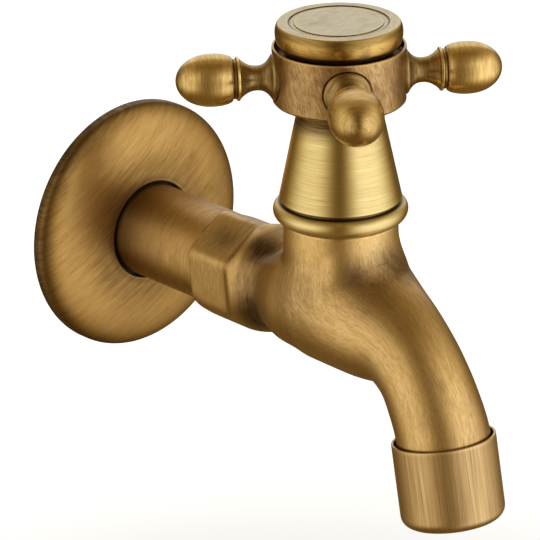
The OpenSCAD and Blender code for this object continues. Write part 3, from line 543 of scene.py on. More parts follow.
def tap_casting(material):
    """Body casting: chamber and neck mouth, outer skin, threaded spout end and its bore, and the inlet."""
    sides = 168
    mouth = rounded([[0, 0, 0], [9.9, 0, 0], [9.9, -12, 0], [10.45, -12, 0], [10.45, -NECK_TOP, 0.2],
                     [NECK_R - 0.05, -NECK_TOP, 0.25], [NECK_R, -NECK_TOP + 0.4, 0]], 3.0)
    tip = rounded([[11, 0.05, 0], [11, 1.15, 0.1], [9.6, 1.3, 0], [9.6, 3.2, 0], [10.1, 3.5, 0],
                   [10.1, 8, 0.2], [9.7, 8.5, 0], [6.5, 8.5, 0.1], [5, 7, 0], [5, -6, 0], [0, -6, 0]], 3.0)
    skin = stack(turned(mouth, DOWN_NECK, sides), body_grid(sides), turned(tip, ON_NOZZLE, sides))
    make_piece("tap_casting", [skin, barrel_grid()], material, "tap", ["tap_body"])


# Round pieces on the inlet

def dome(rim_r, rim_h, hole_r, top_h, steps=48):
    """Outline of the flange's dome: the radius falls with the cosine to the power 1.6 while the height
    rises with the sine."""
    u = np.linspace(0, math.pi / 2, steps)
    return np.stack([hole_r + (rim_r - hole_r) * np.cos(u) ** 1.6, rim_h + (top_h - rim_h) * np.sin(u)], 1)


def wall_flange(material):
    """Domed flange with an upright rim, a rolled edge at the hole and a collar inside, with a painted
    highlight that makes a ring half way up the dome paler."""
    front = dome(FLANGE_R, 2, FLANGE_HOLE_R, FLANGE_TOP)
    back = dome(29.8, 1.5, 14.6, 6.95)[::-1]
    rim = [[29.8, 0.12], [29.95, 0.0], [30.95, 0.0], [FLANGE_R, 0.2], [FLANGE_R, 1.2]]
    hole = [[12.45, 8.16], [12.25, 8.0], [FLANGE_HOLE_R, 7.8], [FLANGE_HOLE_R, 6.4], [12.5, 6.1],
            [13.4, 6.05], [13.4, 4.15], [12.5, 4.1], [12.5, 2.6], [14.6, 2.6]]

    def dirt_and_shade(r, h):
        # Darker at the outer rim, towards the hole and at the back edge.
        outer = 0.5 * ease(29.6, 31.0, r) * ease(4.6, 2.4, h) + 0.35 * ease(27.5, 30.2, r)
        return outer + 0.36 * ease(22, 15, r) + 0.3 * ease(15, 12.4, r) + 0.4 * ease(0.9, 0.2, h)

    def wear_and_highlight(r, h):
        # Painted highlight: a paler ring half way up the dome.
        return 0.34 * ease(19, 24, r) * ease(29, 26, r) * ease(2.6, 3.4, h)

    profile = spaced(np.vstack([rim, front[:-3], hole, back, rim[:1]]), 0.7)
    grid = straight_strokes(turned(profile, ON_INLET, 256, dirt_and_shade=dirt_and_shade, wear_and_highlight=wear_and_highlight))
    make_piece("flange_shell", [grid], material, "flange", ["wall_flange"])


def straight_strokes(grid, lean=33.0):
    """Strokes that cross the face in one direction, leaning from lower left to upper right."""
    a = math.radians(lean)
    p = grid["points"]
    grid["stroke"] = np.stack([p[..., 0] * math.cos(a) + p[..., 2] * math.sin(a), p[..., 1],
                               p[..., 2] * math.cos(a) - p[..., 0] * math.sin(a)], -1)
    across = np.array([-math.sin(a), 0.0, math.cos(a)])
    grid["grain"] = np.broadcast_to(across, p.shape)
    return grid


def cover_sleeve(material):
    """Plain tube between the flange and the barrel, with its ends eased, darker towards the flange."""
    profile = rounded([[10.65, 1.6, 0.08], [10.65, 1.5, 0.08], [SLEEVE_R, 1.5, 0.15],
                       [SLEEVE_R, WALL_TO_SLEEVE_END, 0.12], [10.65, WALL_TO_SLEEVE_END, 0.05],
                       [10.65, 1.6, 0.05]])

    def dirt_and_shade(r, h):
        return 0.45 * ease(19, 7, h) + 0.35 * ease(35.0, WALL_TO_SLEEVE_END, h)

    grid = turned(profile, ON_INLET, 192, dirt_and_shade=dirt_and_shade)
    make_piece("sleeve_tube", [grid], material, "tap", ["cover_sleeve"])


# Nozzle and bonnet

def nozzle_shell(material):
    """Nozzle: a thin skirt round the spout end, a threaded middle and a rounded mouth."""
    profile = rounded([[10.15, 3.25, 0], [11.65, 3.2, 0.1], [11.65, SKIRT_TOP, 0.12],
                       [NOZZLE_R, SKIRT_TOP, 0.2], [NOZZLE_R, NOZZLE_LENGTH, 2.7],
                       [8.8, NOZZLE_LENGTH, 0.35], [8.8, 17.3, 0.1], [10.15, 17.3, 0.05],
                       [10.15, 3.25, 0]], 0.6)

    def wear_and_highlight(r, h):
        return 0.7 * ease(0.0, -0.6, h) * ease(11.9, 12.2, r)

    grid = turned(profile, ON_NOZZLE, 224, across=False, wear_and_highlight=wear_and_highlight)
    make_piece("nozzle_sleeve", [grid], material, "tap", ["nozzle_shell"])


def bonnet_ring(material):
    """Bead under the bonnet: an arc, flatter above its middle than below, over a crease, with a dark
    step above it. Painted shade darkens the step under the bell's edge and the crease at its foot."""
    a = np.radians(np.linspace(-66, 52, 26))
    bead = np.stack([13.2 + 2.6 * np.cos(a), 25.05 + np.where(a < 0, 2.6, 2.15) * np.sin(a)], 1)
    crease = [[10.8, 22.6], [10.8, 22.35], [10.9, NECK_TOP], [13.5, NECK_TOP], [13.9, 22.45]]
    step = [[14.5, 26.93], [13.75, 26.98], [13.6, 27.06], [13.6, 27.58], [10.8, 27.58]]

    def dirt_and_shade(r, h):
        # Painted shade in the step under the bell's edge and in the crease where the bead sits on the neck.
        return 0.9 * ease(26.6, 26.95, h) + 0.4 * ease(22.8, 22.5, h)

    profile = spaced(np.vstack([crease, bead, step, crease[:1]]), 0.4)
    grid = turned(profile, ON_SPINDLE, 192, dirt_and_shade=dirt_and_shade)
    make_piece("bonnet_bead", [grid], material, "tap", ["bonnet_ring"])


def bonnet_bell(material):
    """Bell-shaped bonnet: a thin rolled lower edge, a straight cone and a rounded shoulder, with painted
    shade under its lower edge and a painted shadow of the hub over its top.
    """
    profile = rounded([[13.1, 27.7, 0.05], [13.1, 27.6, 0.05], [14.2, 27.6, 0.16], [14.35, 28.0, 0.3],
                       [9.9, 49.3, 1.2], [9.15, 50.9, 1.0], [6.05, 50.9, 0.15], [6.05, 47.7, 0.1],
                       [8.4, 47.7, 0.2], [13.1, 29.9, 0.2], [13.1, 27.7, 0]], 0.5)

    def dirt_and_shade(r, h):
        # Painted shade under the lower edge, and the hub's painted shadow on the top of the cone.
        return 0.9 * ease(28.0, 27.8, h) + ease(43.6, 48.4, h)

    grid = turned(profile, ON_SPINDLE, 224, dirt_and_shade=dirt_and_shade)
    make_piece("bonnet_cone", [grid], material, "tap", ["bonnet_bell"])


# Handle

def hub_wall(turn, count=40):
    """A quarter of the hub's wall round one arm seat. Its rings start down in the seat, come over its
    eased edge and open from a circle to the outline of the quarter, all wrapped round the hub."""
    seat, half = FOOT_R + 0.12, HUB_R * math.pi / 4
    middle, rise = (HUB_LOW + HUB_HIGH) / 2 - ARM_Z, (HUB_HIGH - HUB_LOW) / 2
    edge, one = np.linspace(-1, 1, count, endpoint=False), np.ones(count)
    box = np.concatenate([np.stack(side, 1) for side in (
        (half * edge, (HUB_LOW - ARM_Z) * one), (half * one, middle + rise * edge),
        (-half * edge, (HUB_HIGH - ARM_Z) * one), (-half * one, middle - rise * edge))])
    ang = np.arctan2(box[:, 1], box[:, 0])

    def circle(r):
        return np.stack([HUB_R * np.arcsin(r * np.cos(ang) / HUB_R), r * np.sin(ang)], 1)

    t = np.linspace(0, 1, 26) ** 1.6
    open_up = (1 - t)[:, None, None] * circle(seat + 0.22) + t[:, None, None] * box
    rims = np.stack([circle(seat), circle(seat), circle(seat + 0.03), circle(seat + 0.1)])
    sheet = np.concatenate([rims, open_up])
    depth = np.concatenate([[1.1, 0.3, 0.12, 0.03], np.zeros(len(t))])[:, None]
    z = ARM_Z + sheet[..., 1]
    r = HUB_R - 0.05 + 0.1 * (z - HUB_LOW) / (HUB_HIGH - HUB_LOW) - depth
    a = math.radians(turn) + sheet[..., 0] / HUB_R
    points = np.stack([r * np.cos(a), r * np.sin(a) - REACH, z], -1)
    twist = a + 0.3 * (z - ARM_Z) / HUB_R
    stroke = np.stack([HUB_R * np.cos(twist), HUB_R * np.sin(twist), z], -1)
    # Painted shade down in the arm seat, fading out on the wall round it.
    grime_and_shade = np.concatenate([[1.0, 1.0, 1.0, 0.75], 0.4 * np.exp(-t * 18)])[:, None] * np.ones(len(ang))
    around = np.stack([-np.sin(a), np.cos(a), np.zeros_like(a)], -1)
    worn_and_highlight = 0.7 * ease(HUB_HIGH - 0.4, HUB_HIGH, z) + 0.4 * ease(HUB_LOW + 0.4, HUB_LOW, z)
    return dict(points=points, stroke=stroke, grain=around, worn_and_highlight=worn_and_highlight, grime_and_shade=grime_and_shade)


def handle_hub(material):
    """Hub ring: four wall quarters with the arm seats, an eased foot below, and above them a thin rim
    round the recess for the cap."""
    first = -90 - ARM_TURN
    low = rounded([[2.15, 58.5, 0], [2.15, 56.7, 0], [4.36, 56.7, 0], [4.36, 51.5, 0.2], [15.0, 51.5, 0.3],
                   [HUB_R - 0.05, HUB_LOW, 0]])
    high = rounded([[HUB_R + 0.05, HUB_HIGH, 0], [15.52, 65.0, 0.18], [14.95, 65.0, 0.14],
                    [14.95, 62.6, 0.1], [6.2, 62.6, 0], [6.2, 58.5, 0], [2.15, 58.5, 0]])

    def wear_and_highlight(r, h):
        rim = 0.8 * ease(64.5, 64.9, h) * ease(14.95, 15.2, r)
        return rim + 0.3 * ease(52.2, 51.9, h) * ease(15.1, 15.4, r)

    def dirt_and_shade(r, h):
        # Painted shade in the recess for the cap.
        return 0.75 * ease(15.1, 14.97, r) * ease(62.0, 62.4, h)

    strips = [turned(p, ON_SPINDLE, 160, first - 45, across=False, dirt_and_shade=dirt_and_shade, wear_and_highlight=wear_and_highlight)
              for p in (low, high)]
    walls = [hub_wall(first + 90 * k) for k in range(4)]
    make_piece("hub_ring", strips + walls, material, "handle", ["handle_hub"])


def arm_profile(egg_r=6.12, tip_at=37.85):
    """Arm from its stud to its tip: a flared foot and a thin neck whose radii follow powers of the way
    along, a small collar, and an egg that is an ellipse behind its widest place and a fuller curve,
    with the power 2.15, in front of it."""
    neck_r, back_r, back_at, wide_at = 2.9, 4.75, 24.75, 29.45
    u = np.linspace(0, 1, 22)
    foot = np.stack([neck_r + 2.6 * (1 - u) ** 2.7, 15.55 + 3.75 * u], 1)
    swell = np.stack([neck_r + 1.85 * u ** 2.1, 19.3 + 3.8 * u], 1)
    u = np.linspace(0, math.pi / 2, 15)[:-1]
    back = np.stack([back_r + (egg_r - back_r) * np.sin(u),
                     back_at + (wide_at - back_at) * (1 - np.cos(u))], 1)
    v = np.sin(np.linspace(0, 1, 30) * math.pi / 2)
    tip = np.stack([egg_r * np.sqrt(np.clip(1 - v ** 2.15, 0, 1)), wide_at + (tip_at - wide_at) * v], 1)
    tip[-1, 0] = 0.0
    collar = rounded([[back_r, 23.1, 0], [5.05, 23.2, 0.1], [5.15, 23.75, 0.15], [4.7, 23.95, 0.1],
                      [4.62, 24.55, 0.1], [back_r, back_at, 0]], 0.2)
    stud = [[0, 9.5], [neck_r, 9.6], [3.0, 14.3], [FOOT_R - 0.05, 14.3], [FOOT_R, 14.4], [FOOT_R, 15.2],
            [FOOT_R - 0.04, 15.4]]
    return spaced(np.vstack([stud, foot[1:], swell[1:], collar, back[1:], tip]), 0.6)


def handle_arm(name, turn, material, *egg):
    """One turned arm with its egg-shaped knob, dark at its foot and neck and at the egg's two ends."""

    def dirt_and_shade(r, h):
        # Painted shade at the foot where the arm meets the hub; the neck and the egg's two ends are darker as
        # well.
        ends = 0.3 * ease(26.8, 25.0, h) + 0.3 * ease(35.2, 37.6, h)
        return 0.52 * ease(24.0, 21.5, h) + 0.2 * ease(16.6, 15.5, h) + ends * ease(24.7, 25.0, h)

    grid = turned(arm_profile(*egg), on_arm(turn), 128, width=0.25, dirt_and_shade=dirt_and_shade)
    make_piece(name + "_turned", [grid], material, "handle", [name])


def index_cap(material):
    """Bulging cap: a narrow foot in the recess, a full side of two elliptic arcs, and a flat top with a
    shallow ring groove."""
    wide_z = 68.14
    a = np.radians(np.linspace(-75, 0, 14))
    lower = np.stack([CAP_R - 1.75 * (1 - np.cos(a)), wide_z + 3.44 * np.sin(a)], 1)
    a = np.radians(np.linspace(0, 84, 20)[1:])
    upper = np.stack([CAP_R - 1.0 * (1 - np.cos(a)), wide_z + 2.46 * np.sin(a)], 1)
    top = rounded([[13.7, CAP_TOP, 0], [11.65, CAP_TOP, 0.1], [11.65, GROOVE_FLOOR, 0.04],
                   [9.0, GROOVE_FLOOR, 0], [9.0, 68.3, 0], [0, 68.3, 0]], 0.3)
    foot = [[0, 64.2], [9.7, 64.2], [9.7, 62.6], [12.55, 62.6], [12.55, 64.5], [12.9, 64.75]]

    def dirt_and_shade(r, h):
        # A darker band high on the side, painted shade in the ring groove, and painted shade on the foot down
        # in the hub's recess.
        side = 0.55 * ease(68.4, 69.6, h) * ease(70.45, 70.1, h) * ease(13.0, 13.6, r)
        line = ease(11.45, 11.6, r) * ease(11.85, 11.7, r) * ease(69.8, 70.0, h)
        return side + 0.6 * ease(66.8, 64.9, h) + 0.9 * line

    grid = turned(spaced(np.vstack([foot, lower, upper, top]), 0.5), ON_SPINDLE, 192, dirt_and_shade=dirt_and_shade)
    make_piece("cap_shell", [grid], material, "handle", ["index_cap"])


def index_plate(material):
    """Bare flat plate in the middle of the cap, with an eased edge and strokes straight across it, and
    painted shade on its edge beside the groove.
    """
    profile = rounded([[0, 68.35, 0], [8.9, 68.35, 0], [8.9, 69.93, 0], [PLATE_R, 69.93, 0.02],
                       [PLATE_R, CAP_TOP, 0.12], [0, CAP_TOP, 0]], 0.5)

    def dirt_and_shade(r, h):
        # Painted shade on the plate's edge beside the groove.
        return 0.9 * ease(10.25, 10.42, r)

    grid = straight_strokes(turned(profile, ON_SPINDLE, 160, dirt_and_shade=dirt_and_shade))
    grid["stroke"] = grid["points"][..., [0, 2, 1]]
    make_piece("cap_plate", [grid], material, "handle", ["index_plate"])


# Shader groups and materials

class Wires:
    """A node tree with short calls: each adds a node with its settings and inputs, linked or set."""

    def __init__(self, tree):
        self.tree = tree

    def add(self, kind, inputs=None, **settings):
        """Any node."""
        node = self.tree.nodes.new(kind)
        for key, value in settings.items():
            setattr(node, key, value)
        for key, value in (inputs or {}).items():
            self.feed(node.inputs[key], value)
        return node

    def feed(self, socket, value):
        """Link a socket to another, or set its value."""
        if isinstance(value, bpy.types.NodeSocket):
            self.tree.links.new(value, socket)
        else:
            socket.default_value = value

    def math(self, kind, a, b=None, c=None, clamp=False):
        """One sum of up to three numbers."""
        inputs = {k: value for k, value in enumerate((a, b, c)) if value is not None}
        return self.add("ShaderNodeMath", inputs, operation=kind, use_clamp=clamp).outputs[0]

    def vector(self, kind, a, b):
        """One sum of two vectors: a vector, or for a dot product and a distance a number."""
        number = kind in ("DOT_PRODUCT", "DISTANCE")
        node = self.add("ShaderNodeVectorMath", {0: a, 1: b}, operation=kind)
        return node.outputs["Value" if number else "Vector"]

    def mix(self, factor, a, b, blend="MIX"):
        """A colour between two, or the first times the second, by the factor."""
        node = self.add("ShaderNodeMix", data_type="RGBA", blend_type=blend)
        for k, value in ((0, factor), (6, a), (7, b)):
            self.feed(node.inputs[k], value)
        return node.outputs[2]

    def span(self, value, lo, hi):
        """A smooth step from 0 at lo to 1 at hi, which may be the lower of the two."""
        return self.add("ShaderNodeMapRange", {"Value": value, "From Min": lo, "From Max": hi},
                        interpolation_type="SMOOTHSTEP").outputs[0]

    def noise(self, place, scale, detail, **more):
        """Value of a solid noise, from 0 to 1."""
        return self.add("ShaderNodeTexNoise",
                        {"Vector": place, "Scale": scale, "Detail": detail, **more}).outputs[0]


def shader_group(name, inputs, outputs):
    """An empty shader group with named sockets: its wires, what comes in and the sockets it puts out."""
    tree = bpy.data.node_groups.new(name, "ShaderNodeTree")
    for label, kind in inputs:
        tree.interface.new_socket(label, in_out="INPUT", socket_type="NodeSocket" + kind)
    for label in outputs:
        tree.interface.new_socket(label, in_out="OUTPUT", socket_type="NodeSocketFloat")
    wires = Wires(tree)
    return wires, wires.add("NodeGroupInput").outputs, wires.add("NodeGroupOutput").inputs


def stroke_group():
    """Brush strokes: noise drawn out along the stroke, in a fine and a coarse set, and from a third set
    short bright scratches where it peaks and dark cuts where it is lowest."""
    w, i, o = shader_group(
        "brush_strokes", [("Stroke", "Vector"), ("Fine Scale", "Vector"), ("Coarse Scale", "Vector")],
        ["Fine", "Coarse", "Scratch", "Cut"])
    fine, coarse = (w.vector("MULTIPLY", i["Stroke"], i[scale]) for scale in ("Fine Scale", "Coarse Scale"))
    w.feed(o["Fine"], w.span(w.noise(fine, 1.0, 2.5, Roughness=0.6), 0.25, 0.75))
    w.feed(o["Coarse"], w.span(w.noise(coarse, 1.0, 3.0, Roughness=0.6), 0.25, 0.75))
    lines = w.noise(w.vector("ADD", fine, (7.3, 2.9, 5.1)), 1.5, 1.0)
    w.feed(o["Scratch"], w.span(lines, 0.62, 0.7))
    w.feed(o["Cut"], w.span(lines, 0.37, 0.29))
    return w.tree


def patina_group():
    """Patina: cloudy patches with ragged edges, over the whole surface, from Object coordinates. A
    smooth step from low to high picks them out of the noise."""
    w, i, o = shader_group(
        "patina", [("Place", "Vector"), ("Size", "Float"), ("Low", "Float"), ("High", "Float")], ["Patch"])
    clouds = w.noise(i["Place"], i["Size"], 5.0, Roughness=0.6, Distortion=0.4)
    w.feed(o["Patch"], w.span(clouds, i["Low"], i["High"]))
    return w.tree


STROKES = stroke_group()
PATINA = patina_group()

# Size, low and high of the clouds that turn a finish rosy
WIDE_CLOUDS = (38.0, 0.42, 0.68)


def rgb(r, g, b):
    """A colour written as 0 to 255 in display values, in the shader's own linear values."""
    shares = (c / 255 for c in (r, g, b))
    return tuple(((c + 0.055) / 1.055) ** 2.4 if c > 0.04 else c / 12.92 for c in shares) + (1.0,)


def new_material(name):
    """A material, its wires, its Principled shader and the place on the object."""
    mat = bpy.data.materials.new(name)
    mat.use_nodes = True
    w = Wires(mat.node_tree)
    return mat, w, mat.node_tree.nodes["Principled BSDF"], w.add("ShaderNodeTexCoord").outputs["Object"]


def surface(w, bsdf, colour, metallic, rough, height, depth):
    """Gives a shader its colour, metal, roughness and a bump of a depth in millimetres."""
    bump = w.add("ShaderNodeBump", {"Strength": 1.0, "Distance": depth * MM, "Height": height})
    for key, value in (("Base Color", colour), ("Metallic", metallic), ("Roughness", rough),
                       ("Normal", bump.outputs[0])):
        w.feed(bsdf.inputs[key], value)


def brushed_brass(name, tones, rough, anisotropic, fine, coarse, contrast, depth, patina, patina_share,
                  rosy_share, top=None):
    """Brushed antique brass. Tones are its pale, middle, dark, rosy and patina colours, and the patina
    colour is also that of the painted shade. Fine and coarse say how often the strokes change per
    millimetre of each stroke coordinate. They move the colour, by the contrast, the roughness and a bump
    of the given depth. Wide clouds turn it rosy, patina (size, low and high) lies in smaller clouds, and
    attributes bring the pale worn edges and the flange's painted highlight, and dark hollows of dirt and
    painted shade. Top is a height, the length of the change below it and a colour: above that height
    the piece has it. It paints the highlight on the neck and the reflection on the cap's top."""
    mat, w, bsdf, where = new_material(name)
    pale, middle, dark, rosy, patina_and_shade = tones
    stroke, grain = (w.add("ShaderNodeAttribute", attribute_name=key).outputs["Vector"]
                     for key in ("stroke", "grain"))
    worn_and_highlight, grime_and_shade = (w.add("ShaderNodeAttribute", attribute_name=key).outputs["Fac"]
                   for key in ("worn_and_highlight", "grime_and_shade"))
    marks = w.add("ShaderNodeGroup", {"Stroke": stroke, "Fine Scale": fine, "Coarse Scale": coarse},
                  node_tree=STROKES).outputs
    patch, wide = (w.add("ShaderNodeGroup", {"Place": where, "Size": size, "Low": low, "High": high},
                         node_tree=PATINA).outputs["Patch"] for size, low, high in (patina, WIDE_CLOUDS))
    streak = w.math("ADD", w.math("MULTIPLY", marks["Fine"], 0.6), w.math("MULTIPLY", marks["Coarse"], 0.4))
    tone = w.mix(w.math("MULTIPLY", wide, rosy_share), middle, rosy)
    stains = w.math("MULTIPLY", patch, patina_share)
    # The top colour paints the highlight on the neck and the reflection of the ceiling on the cap's top.
    if top:
        level, fall, colour = top
        height = w.add("ShaderNodeSeparateXYZ", {0: where}).outputs[2]
        share = w.span(height, (level - fall) * MM, level * MM)
        tone = w.mix(share, tone, colour)
        stains = w.math("MULTIPLY", stains, w.math("MULTIPLY_ADD", share, -0.9, 1.0))
    darker = w.mix(contrast, tone, w.mix(0.75, tone, dark, "MULTIPLY"))
    tone = w.mix(streak, darker, w.mix(contrast, tone, pale))
    tone = w.mix(w.math("MULTIPLY", marks["Scratch"], 0.6 * contrast), tone, pale)
    tone = w.mix(w.math("MULTIPLY", marks["Cut"], 0.5 * contrast), tone, patina_and_shade)
    # Dirt and painted shade in hollows, recesses and under other parts mix the tone towards the patina
    # colour.
    dirt_and_shade = w.math("MULTIPLY", grime_and_shade, w.math("MULTIPLY_ADD", streak, -0.35, 1.1), clamp=True)
    tone = w.mix(w.math("MAXIMUM", stains, dirt_and_shade, clamp=True), tone, patina_and_shade)
    # Worn edges, and the flange's painted highlight, mix the tone towards the pale colour.
    tone = w.mix(w.math("MULTIPLY", worn_and_highlight, 0.6, clamp=True), tone, pale)
    dull = w.math("MULTIPLY", w.math("ADD", grime_and_shade, patch, clamp=True), 0.12)
    sheen = w.math("MULTIPLY_ADD", streak, -0.12, rough + 0.06)
    surface(w, bsdf, tone, 1.0, w.math("ADD", sheen, dull), streak, depth)
    bsdf.inputs["Anisotropic"].default_value = anisotropic
    turn = w.add("ShaderNodeVectorTransform", {0: grain}, vector_type="VECTOR", convert_from="OBJECT",
                 convert_to="WORLD")
    w.feed(bsdf.inputs["Tangent"], turn.outputs[0])
    return mat


# Pale, middle, dark, rosy and patina tones; the patina tone also colours the painted shade
ANTIQUE = (rgb(230, 198, 138), rgb(202, 165, 102), rgb(190, 170, 140), rgb(178, 140, 98), rgb(84, 60, 42))
FLANGE = (rgb(206, 168, 104), rgb(166, 128, 68), rgb(190, 170, 140), rgb(154, 118, 74), rgb(66, 46, 26))
SLEEVE = (rgb(220, 182, 116), rgb(186, 148, 92), rgb(190, 170, 140), rgb(166, 128, 84), rgb(82, 58, 36))
ARM = (rgb(246, 216, 146), rgb(214, 177, 108), rgb(180, 150, 105), rgb(200, 158, 100), rgb(74, 46, 22))
PALE = (rgb(236, 218, 156), rgb(216, 192, 130), rgb(200, 180, 140), rgb(208, 178, 118), rgb(82, 54, 24))
NOZZLE = (rgb(222, 194, 142), rgb(190, 156, 104), rgb(190, 160, 115), rgb(168, 132, 84), rgb(84, 60, 34))
COPPERY = (rgb(206, 172, 118), rgb(170, 134, 88), rgb(180, 150, 125), rgb(158, 118, 82), rgb(78, 48, 32))
CAP = (rgb(226, 194, 122), rgb(198, 160, 86), rgb(185, 155, 105), rgb(184, 142, 84), rgb(62, 40, 14))
# Painted reflection of the pale ceiling on the cap's top
CHAMPAGNE_REFLECTION = rgb(186, 178, 150)
# Painted highlight on the neck
NECK_GOLD_HIGHLIGHT = rgb(230, 192, 124)


def plain_material(name, colour, rough, metallic=0.0):
    """Moulded or machined inner material with a fine grain in colour, roughness and bump."""
    mat, w, bsdf, where = new_material(name)
    grain = w.noise(where, 900.0, 3.0)
    darker = tuple(c * 0.72 for c in colour[:3]) + (1.0,)
    surface(w, bsdf, w.mix(w.span(grain, 0.3, 0.7), darker, colour), metallic,
            w.math("MULTIPLY_ADD", grain, 0.2, rough - 0.1), grain, 0.02)
    return mat


def dress_inner_parts():
    """Materials for the CAD pieces that stay: seals, valve, spindle, screw and flow straightener."""
    rubber = plain_material("black_rubber_seal", rgb(38, 36, 34), 0.65)
    ceramic = plain_material("lapped_ceramic", rgb(226, 222, 210), 0.2)
    steel = plain_material("stainless_wire", rgb(170, 170, 168), 0.3, 1.0)
    plastic = plain_material("moulded_plastic", rgb(206, 204, 196), 0.45)
    machined = plain_material("machined_brass", rgb(214, 180, 110), 0.3, 1.0)
    wanted = {
        rubber: ["flange_grip_ring", "aerator_washer", "housing_seal", "seat_seal", "lower_spindle_seal",
                 "upper_spindle_seal"],
        ceramic: ["fixed_disc", "moving_disc"],
        steel: ["aerator_screen", "spindle_clip", "handle_screw"],
        plastic: ["aerator_cage", "thrust_washer"],
        machined: ["valve_housing", "spindle"],
    }
    for material, names in wanted.items():
        for name in names:
            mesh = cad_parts[name].data
            mesh.materials.clear()
            mesh.materials.append(material)


# Studio: world light with two soft windows and a gap between them, floor and camera

# Windows: angles to the right of the camera, where each starts, is full, is full to and ends
LEFT_WINDOW = (-5, -52, -72, -135)
RIGHT_WINDOW = (0, 44, 74, 140)


def aim(azimuth, elevation=0.0):
    """Direction from the tap towards a place in the studio. Azimuth 0 is in front of the wall."""
    a, e = math.radians(azimuth), math.radians(elevation)
    return (math.sin(a) * math.cos(e), -math.cos(a) * math.cos(e), math.sin(e))


def studio_light():
    """World that lights the tap by the direction of each ray: two tall soft windows to the left and the
    right of the camera with a dark gap between them, and a dim room with a little light from above,
    from behind and from the floor. It is warmer where it is darker. The camera and glass see a white
    backdrop instead, and metal sees it in a wide patch behind and above the tap."""
    world = bpy.data.worlds.new("studio")
    bpy.context.scene.world = world
    world.use_nodes = True
    w = Wires(world.node_tree)
    glow = world.node_tree.nodes["Background"]
    way = w.add("ShaderNodeTexCoord").outputs["Generated"]
    height = w.add("ShaderNodeSeparateXYZ", {0: way}).outputs[2]

    def towards(turn, rise=0.0):
        """How nearly a ray runs in a direction, by the angles from the camera's turn."""
        return w.vector("DOT_PRODUCT", way, aim(CAMERA_TURN + turn, rise))

    angle = w.math("ARCTAN2", towards(90), towards(0))
    below_top = w.span(height, 1.0, 0.4)

    def window(edges, low, full):
        """How full a window is, by its angles and the heights at which it starts and is full."""
        near_dark, near_full, far_full, far_dark = (math.radians(e) for e in edges)
        beside = w.math("MULTIPLY", w.span(angle, near_dark, near_full), w.span(angle, far_dark, far_full))
        return w.math("MULTIPLY", beside, w.math("MULTIPLY", below_top, w.span(height, low, full)))

    behind = w.math("MULTIPLY", w.span(towards(180, CAMERA_RISE), 0.2, 0.85), w.span(height, -0.1, 0.25))
    level = 0.095
    for light, strength in ((window(LEFT_WINDOW, -0.85, -0.25), 0.76),
                            (window(RIGHT_WINDOW, -1.0, -0.4), 0.95),
                            (w.span(height, 0.6, 0.95), 0.05), (behind, 0.22),
                            (w.span(height, -0.4, -0.75), 0.05)):
        level = w.math("MULTIPLY_ADD", light, strength, level)
    green, blue = (w.math("POWER", level, power) for power in (1.2, 1.7))
    warm = w.add("ShaderNodeCombineXYZ", {0: level, 1: green, 2: blue})
    w.feed(glow.inputs["Color"], warm.outputs[0])
    glow.inputs["Strength"].default_value = 1.45

    white = w.add("ShaderNodeBackground", {"Color": (1, 1, 1, 1), "Strength": 1.0})
    rays = w.add("ShaderNodeLightPath").outputs
    backdrop = w.math("MULTIPLY", w.span(towards(180, 25), 0.78, 0.94), rays["Is Glossy Ray"])
    seen = w.math("MAXIMUM", w.math("MAXIMUM", rays["Is Camera Ray"], rays["Is Transmission Ray"]), backdrop)
    both = w.add("ShaderNodeMixShader", {0: seen, 1: glow.outputs[0], 2: white.outputs[0]})
    w.feed(world.node_tree.nodes["World Output"].inputs["Surface"], both.outputs[0])


def floor():
    """Pale floor well below the tap. Its own glow makes it white to the camera and fades under the tap,
    a painted soft shadow where the real soft shadow lies. It is clear to mirror rays, so that the metal
    shows the studio's light, and from below, so that the tap can be seen from there."""
    z, side, front, back = -0.11, 0.6, -0.36, 1.5
    corners = [(-side, front, z), (side, front, z), (side, back, z), (-side, back, z)]
    mesh = bpy.data.meshes.new("floor")
    mesh.from_pydata(corners, [], [(0, 1, 2, 3)])
    obj = linked("floor", mesh)
    mat, w, bsdf, where = new_material("pale_floor")
    bsdf.inputs["Base Color"].default_value = (0.6, 0.66, 0.82, 1)
    bsdf.inputs["Roughness"].default_value = 0.9
    bsdf.inputs["Specular IOR Level"].default_value = 0.0
    away = w.vector("DISTANCE", where, (0.0, -0.06, z))
    # The glow is weaker near the tap: a painted soft shadow.
    glow_with_painted_shadow = w.math("MULTIPLY_ADD", w.span(away, 0.03, 0.19), 0.34, 0.5)
    glow = w.add("ShaderNodeEmission", {"Color": (1, 1, 1, 1), "Strength": glow_with_painted_shadow})
    nothing = w.add("ShaderNodeEmission", {"Color": (0, 0, 0, 1), "Strength": 0.0})
    rays = w.add("ShaderNodeLightPath").outputs
    seen = w.math("MAXIMUM", rays["Is Camera Ray"], rays["Is Transmission Ray"])
    part = w.add("ShaderNodeMixShader", {0: seen, 1: nothing.outputs[0], 2: glow.outputs[0]})
    total = w.add("ShaderNodeAddShader", {0: bsdf.outputs[0], 1: part.outputs[0]})
    clear = w.add("ShaderNodeBsdfTransparent")
    from_below = w.add("ShaderNodeNewGeometry").outputs["Backfacing"]
    hidden = w.math("MAXIMUM", rays["Is Glossy Ray"], from_below)
    shown = w.add("ShaderNodeMixShader", {0: hidden, 1: total.outputs[0], 2: clear.outputs[0]})
    w.feed(mat.node_tree.nodes["Material Output"].inputs["Surface"], shown.outputs[0])
    mesh.materials.append(mat)


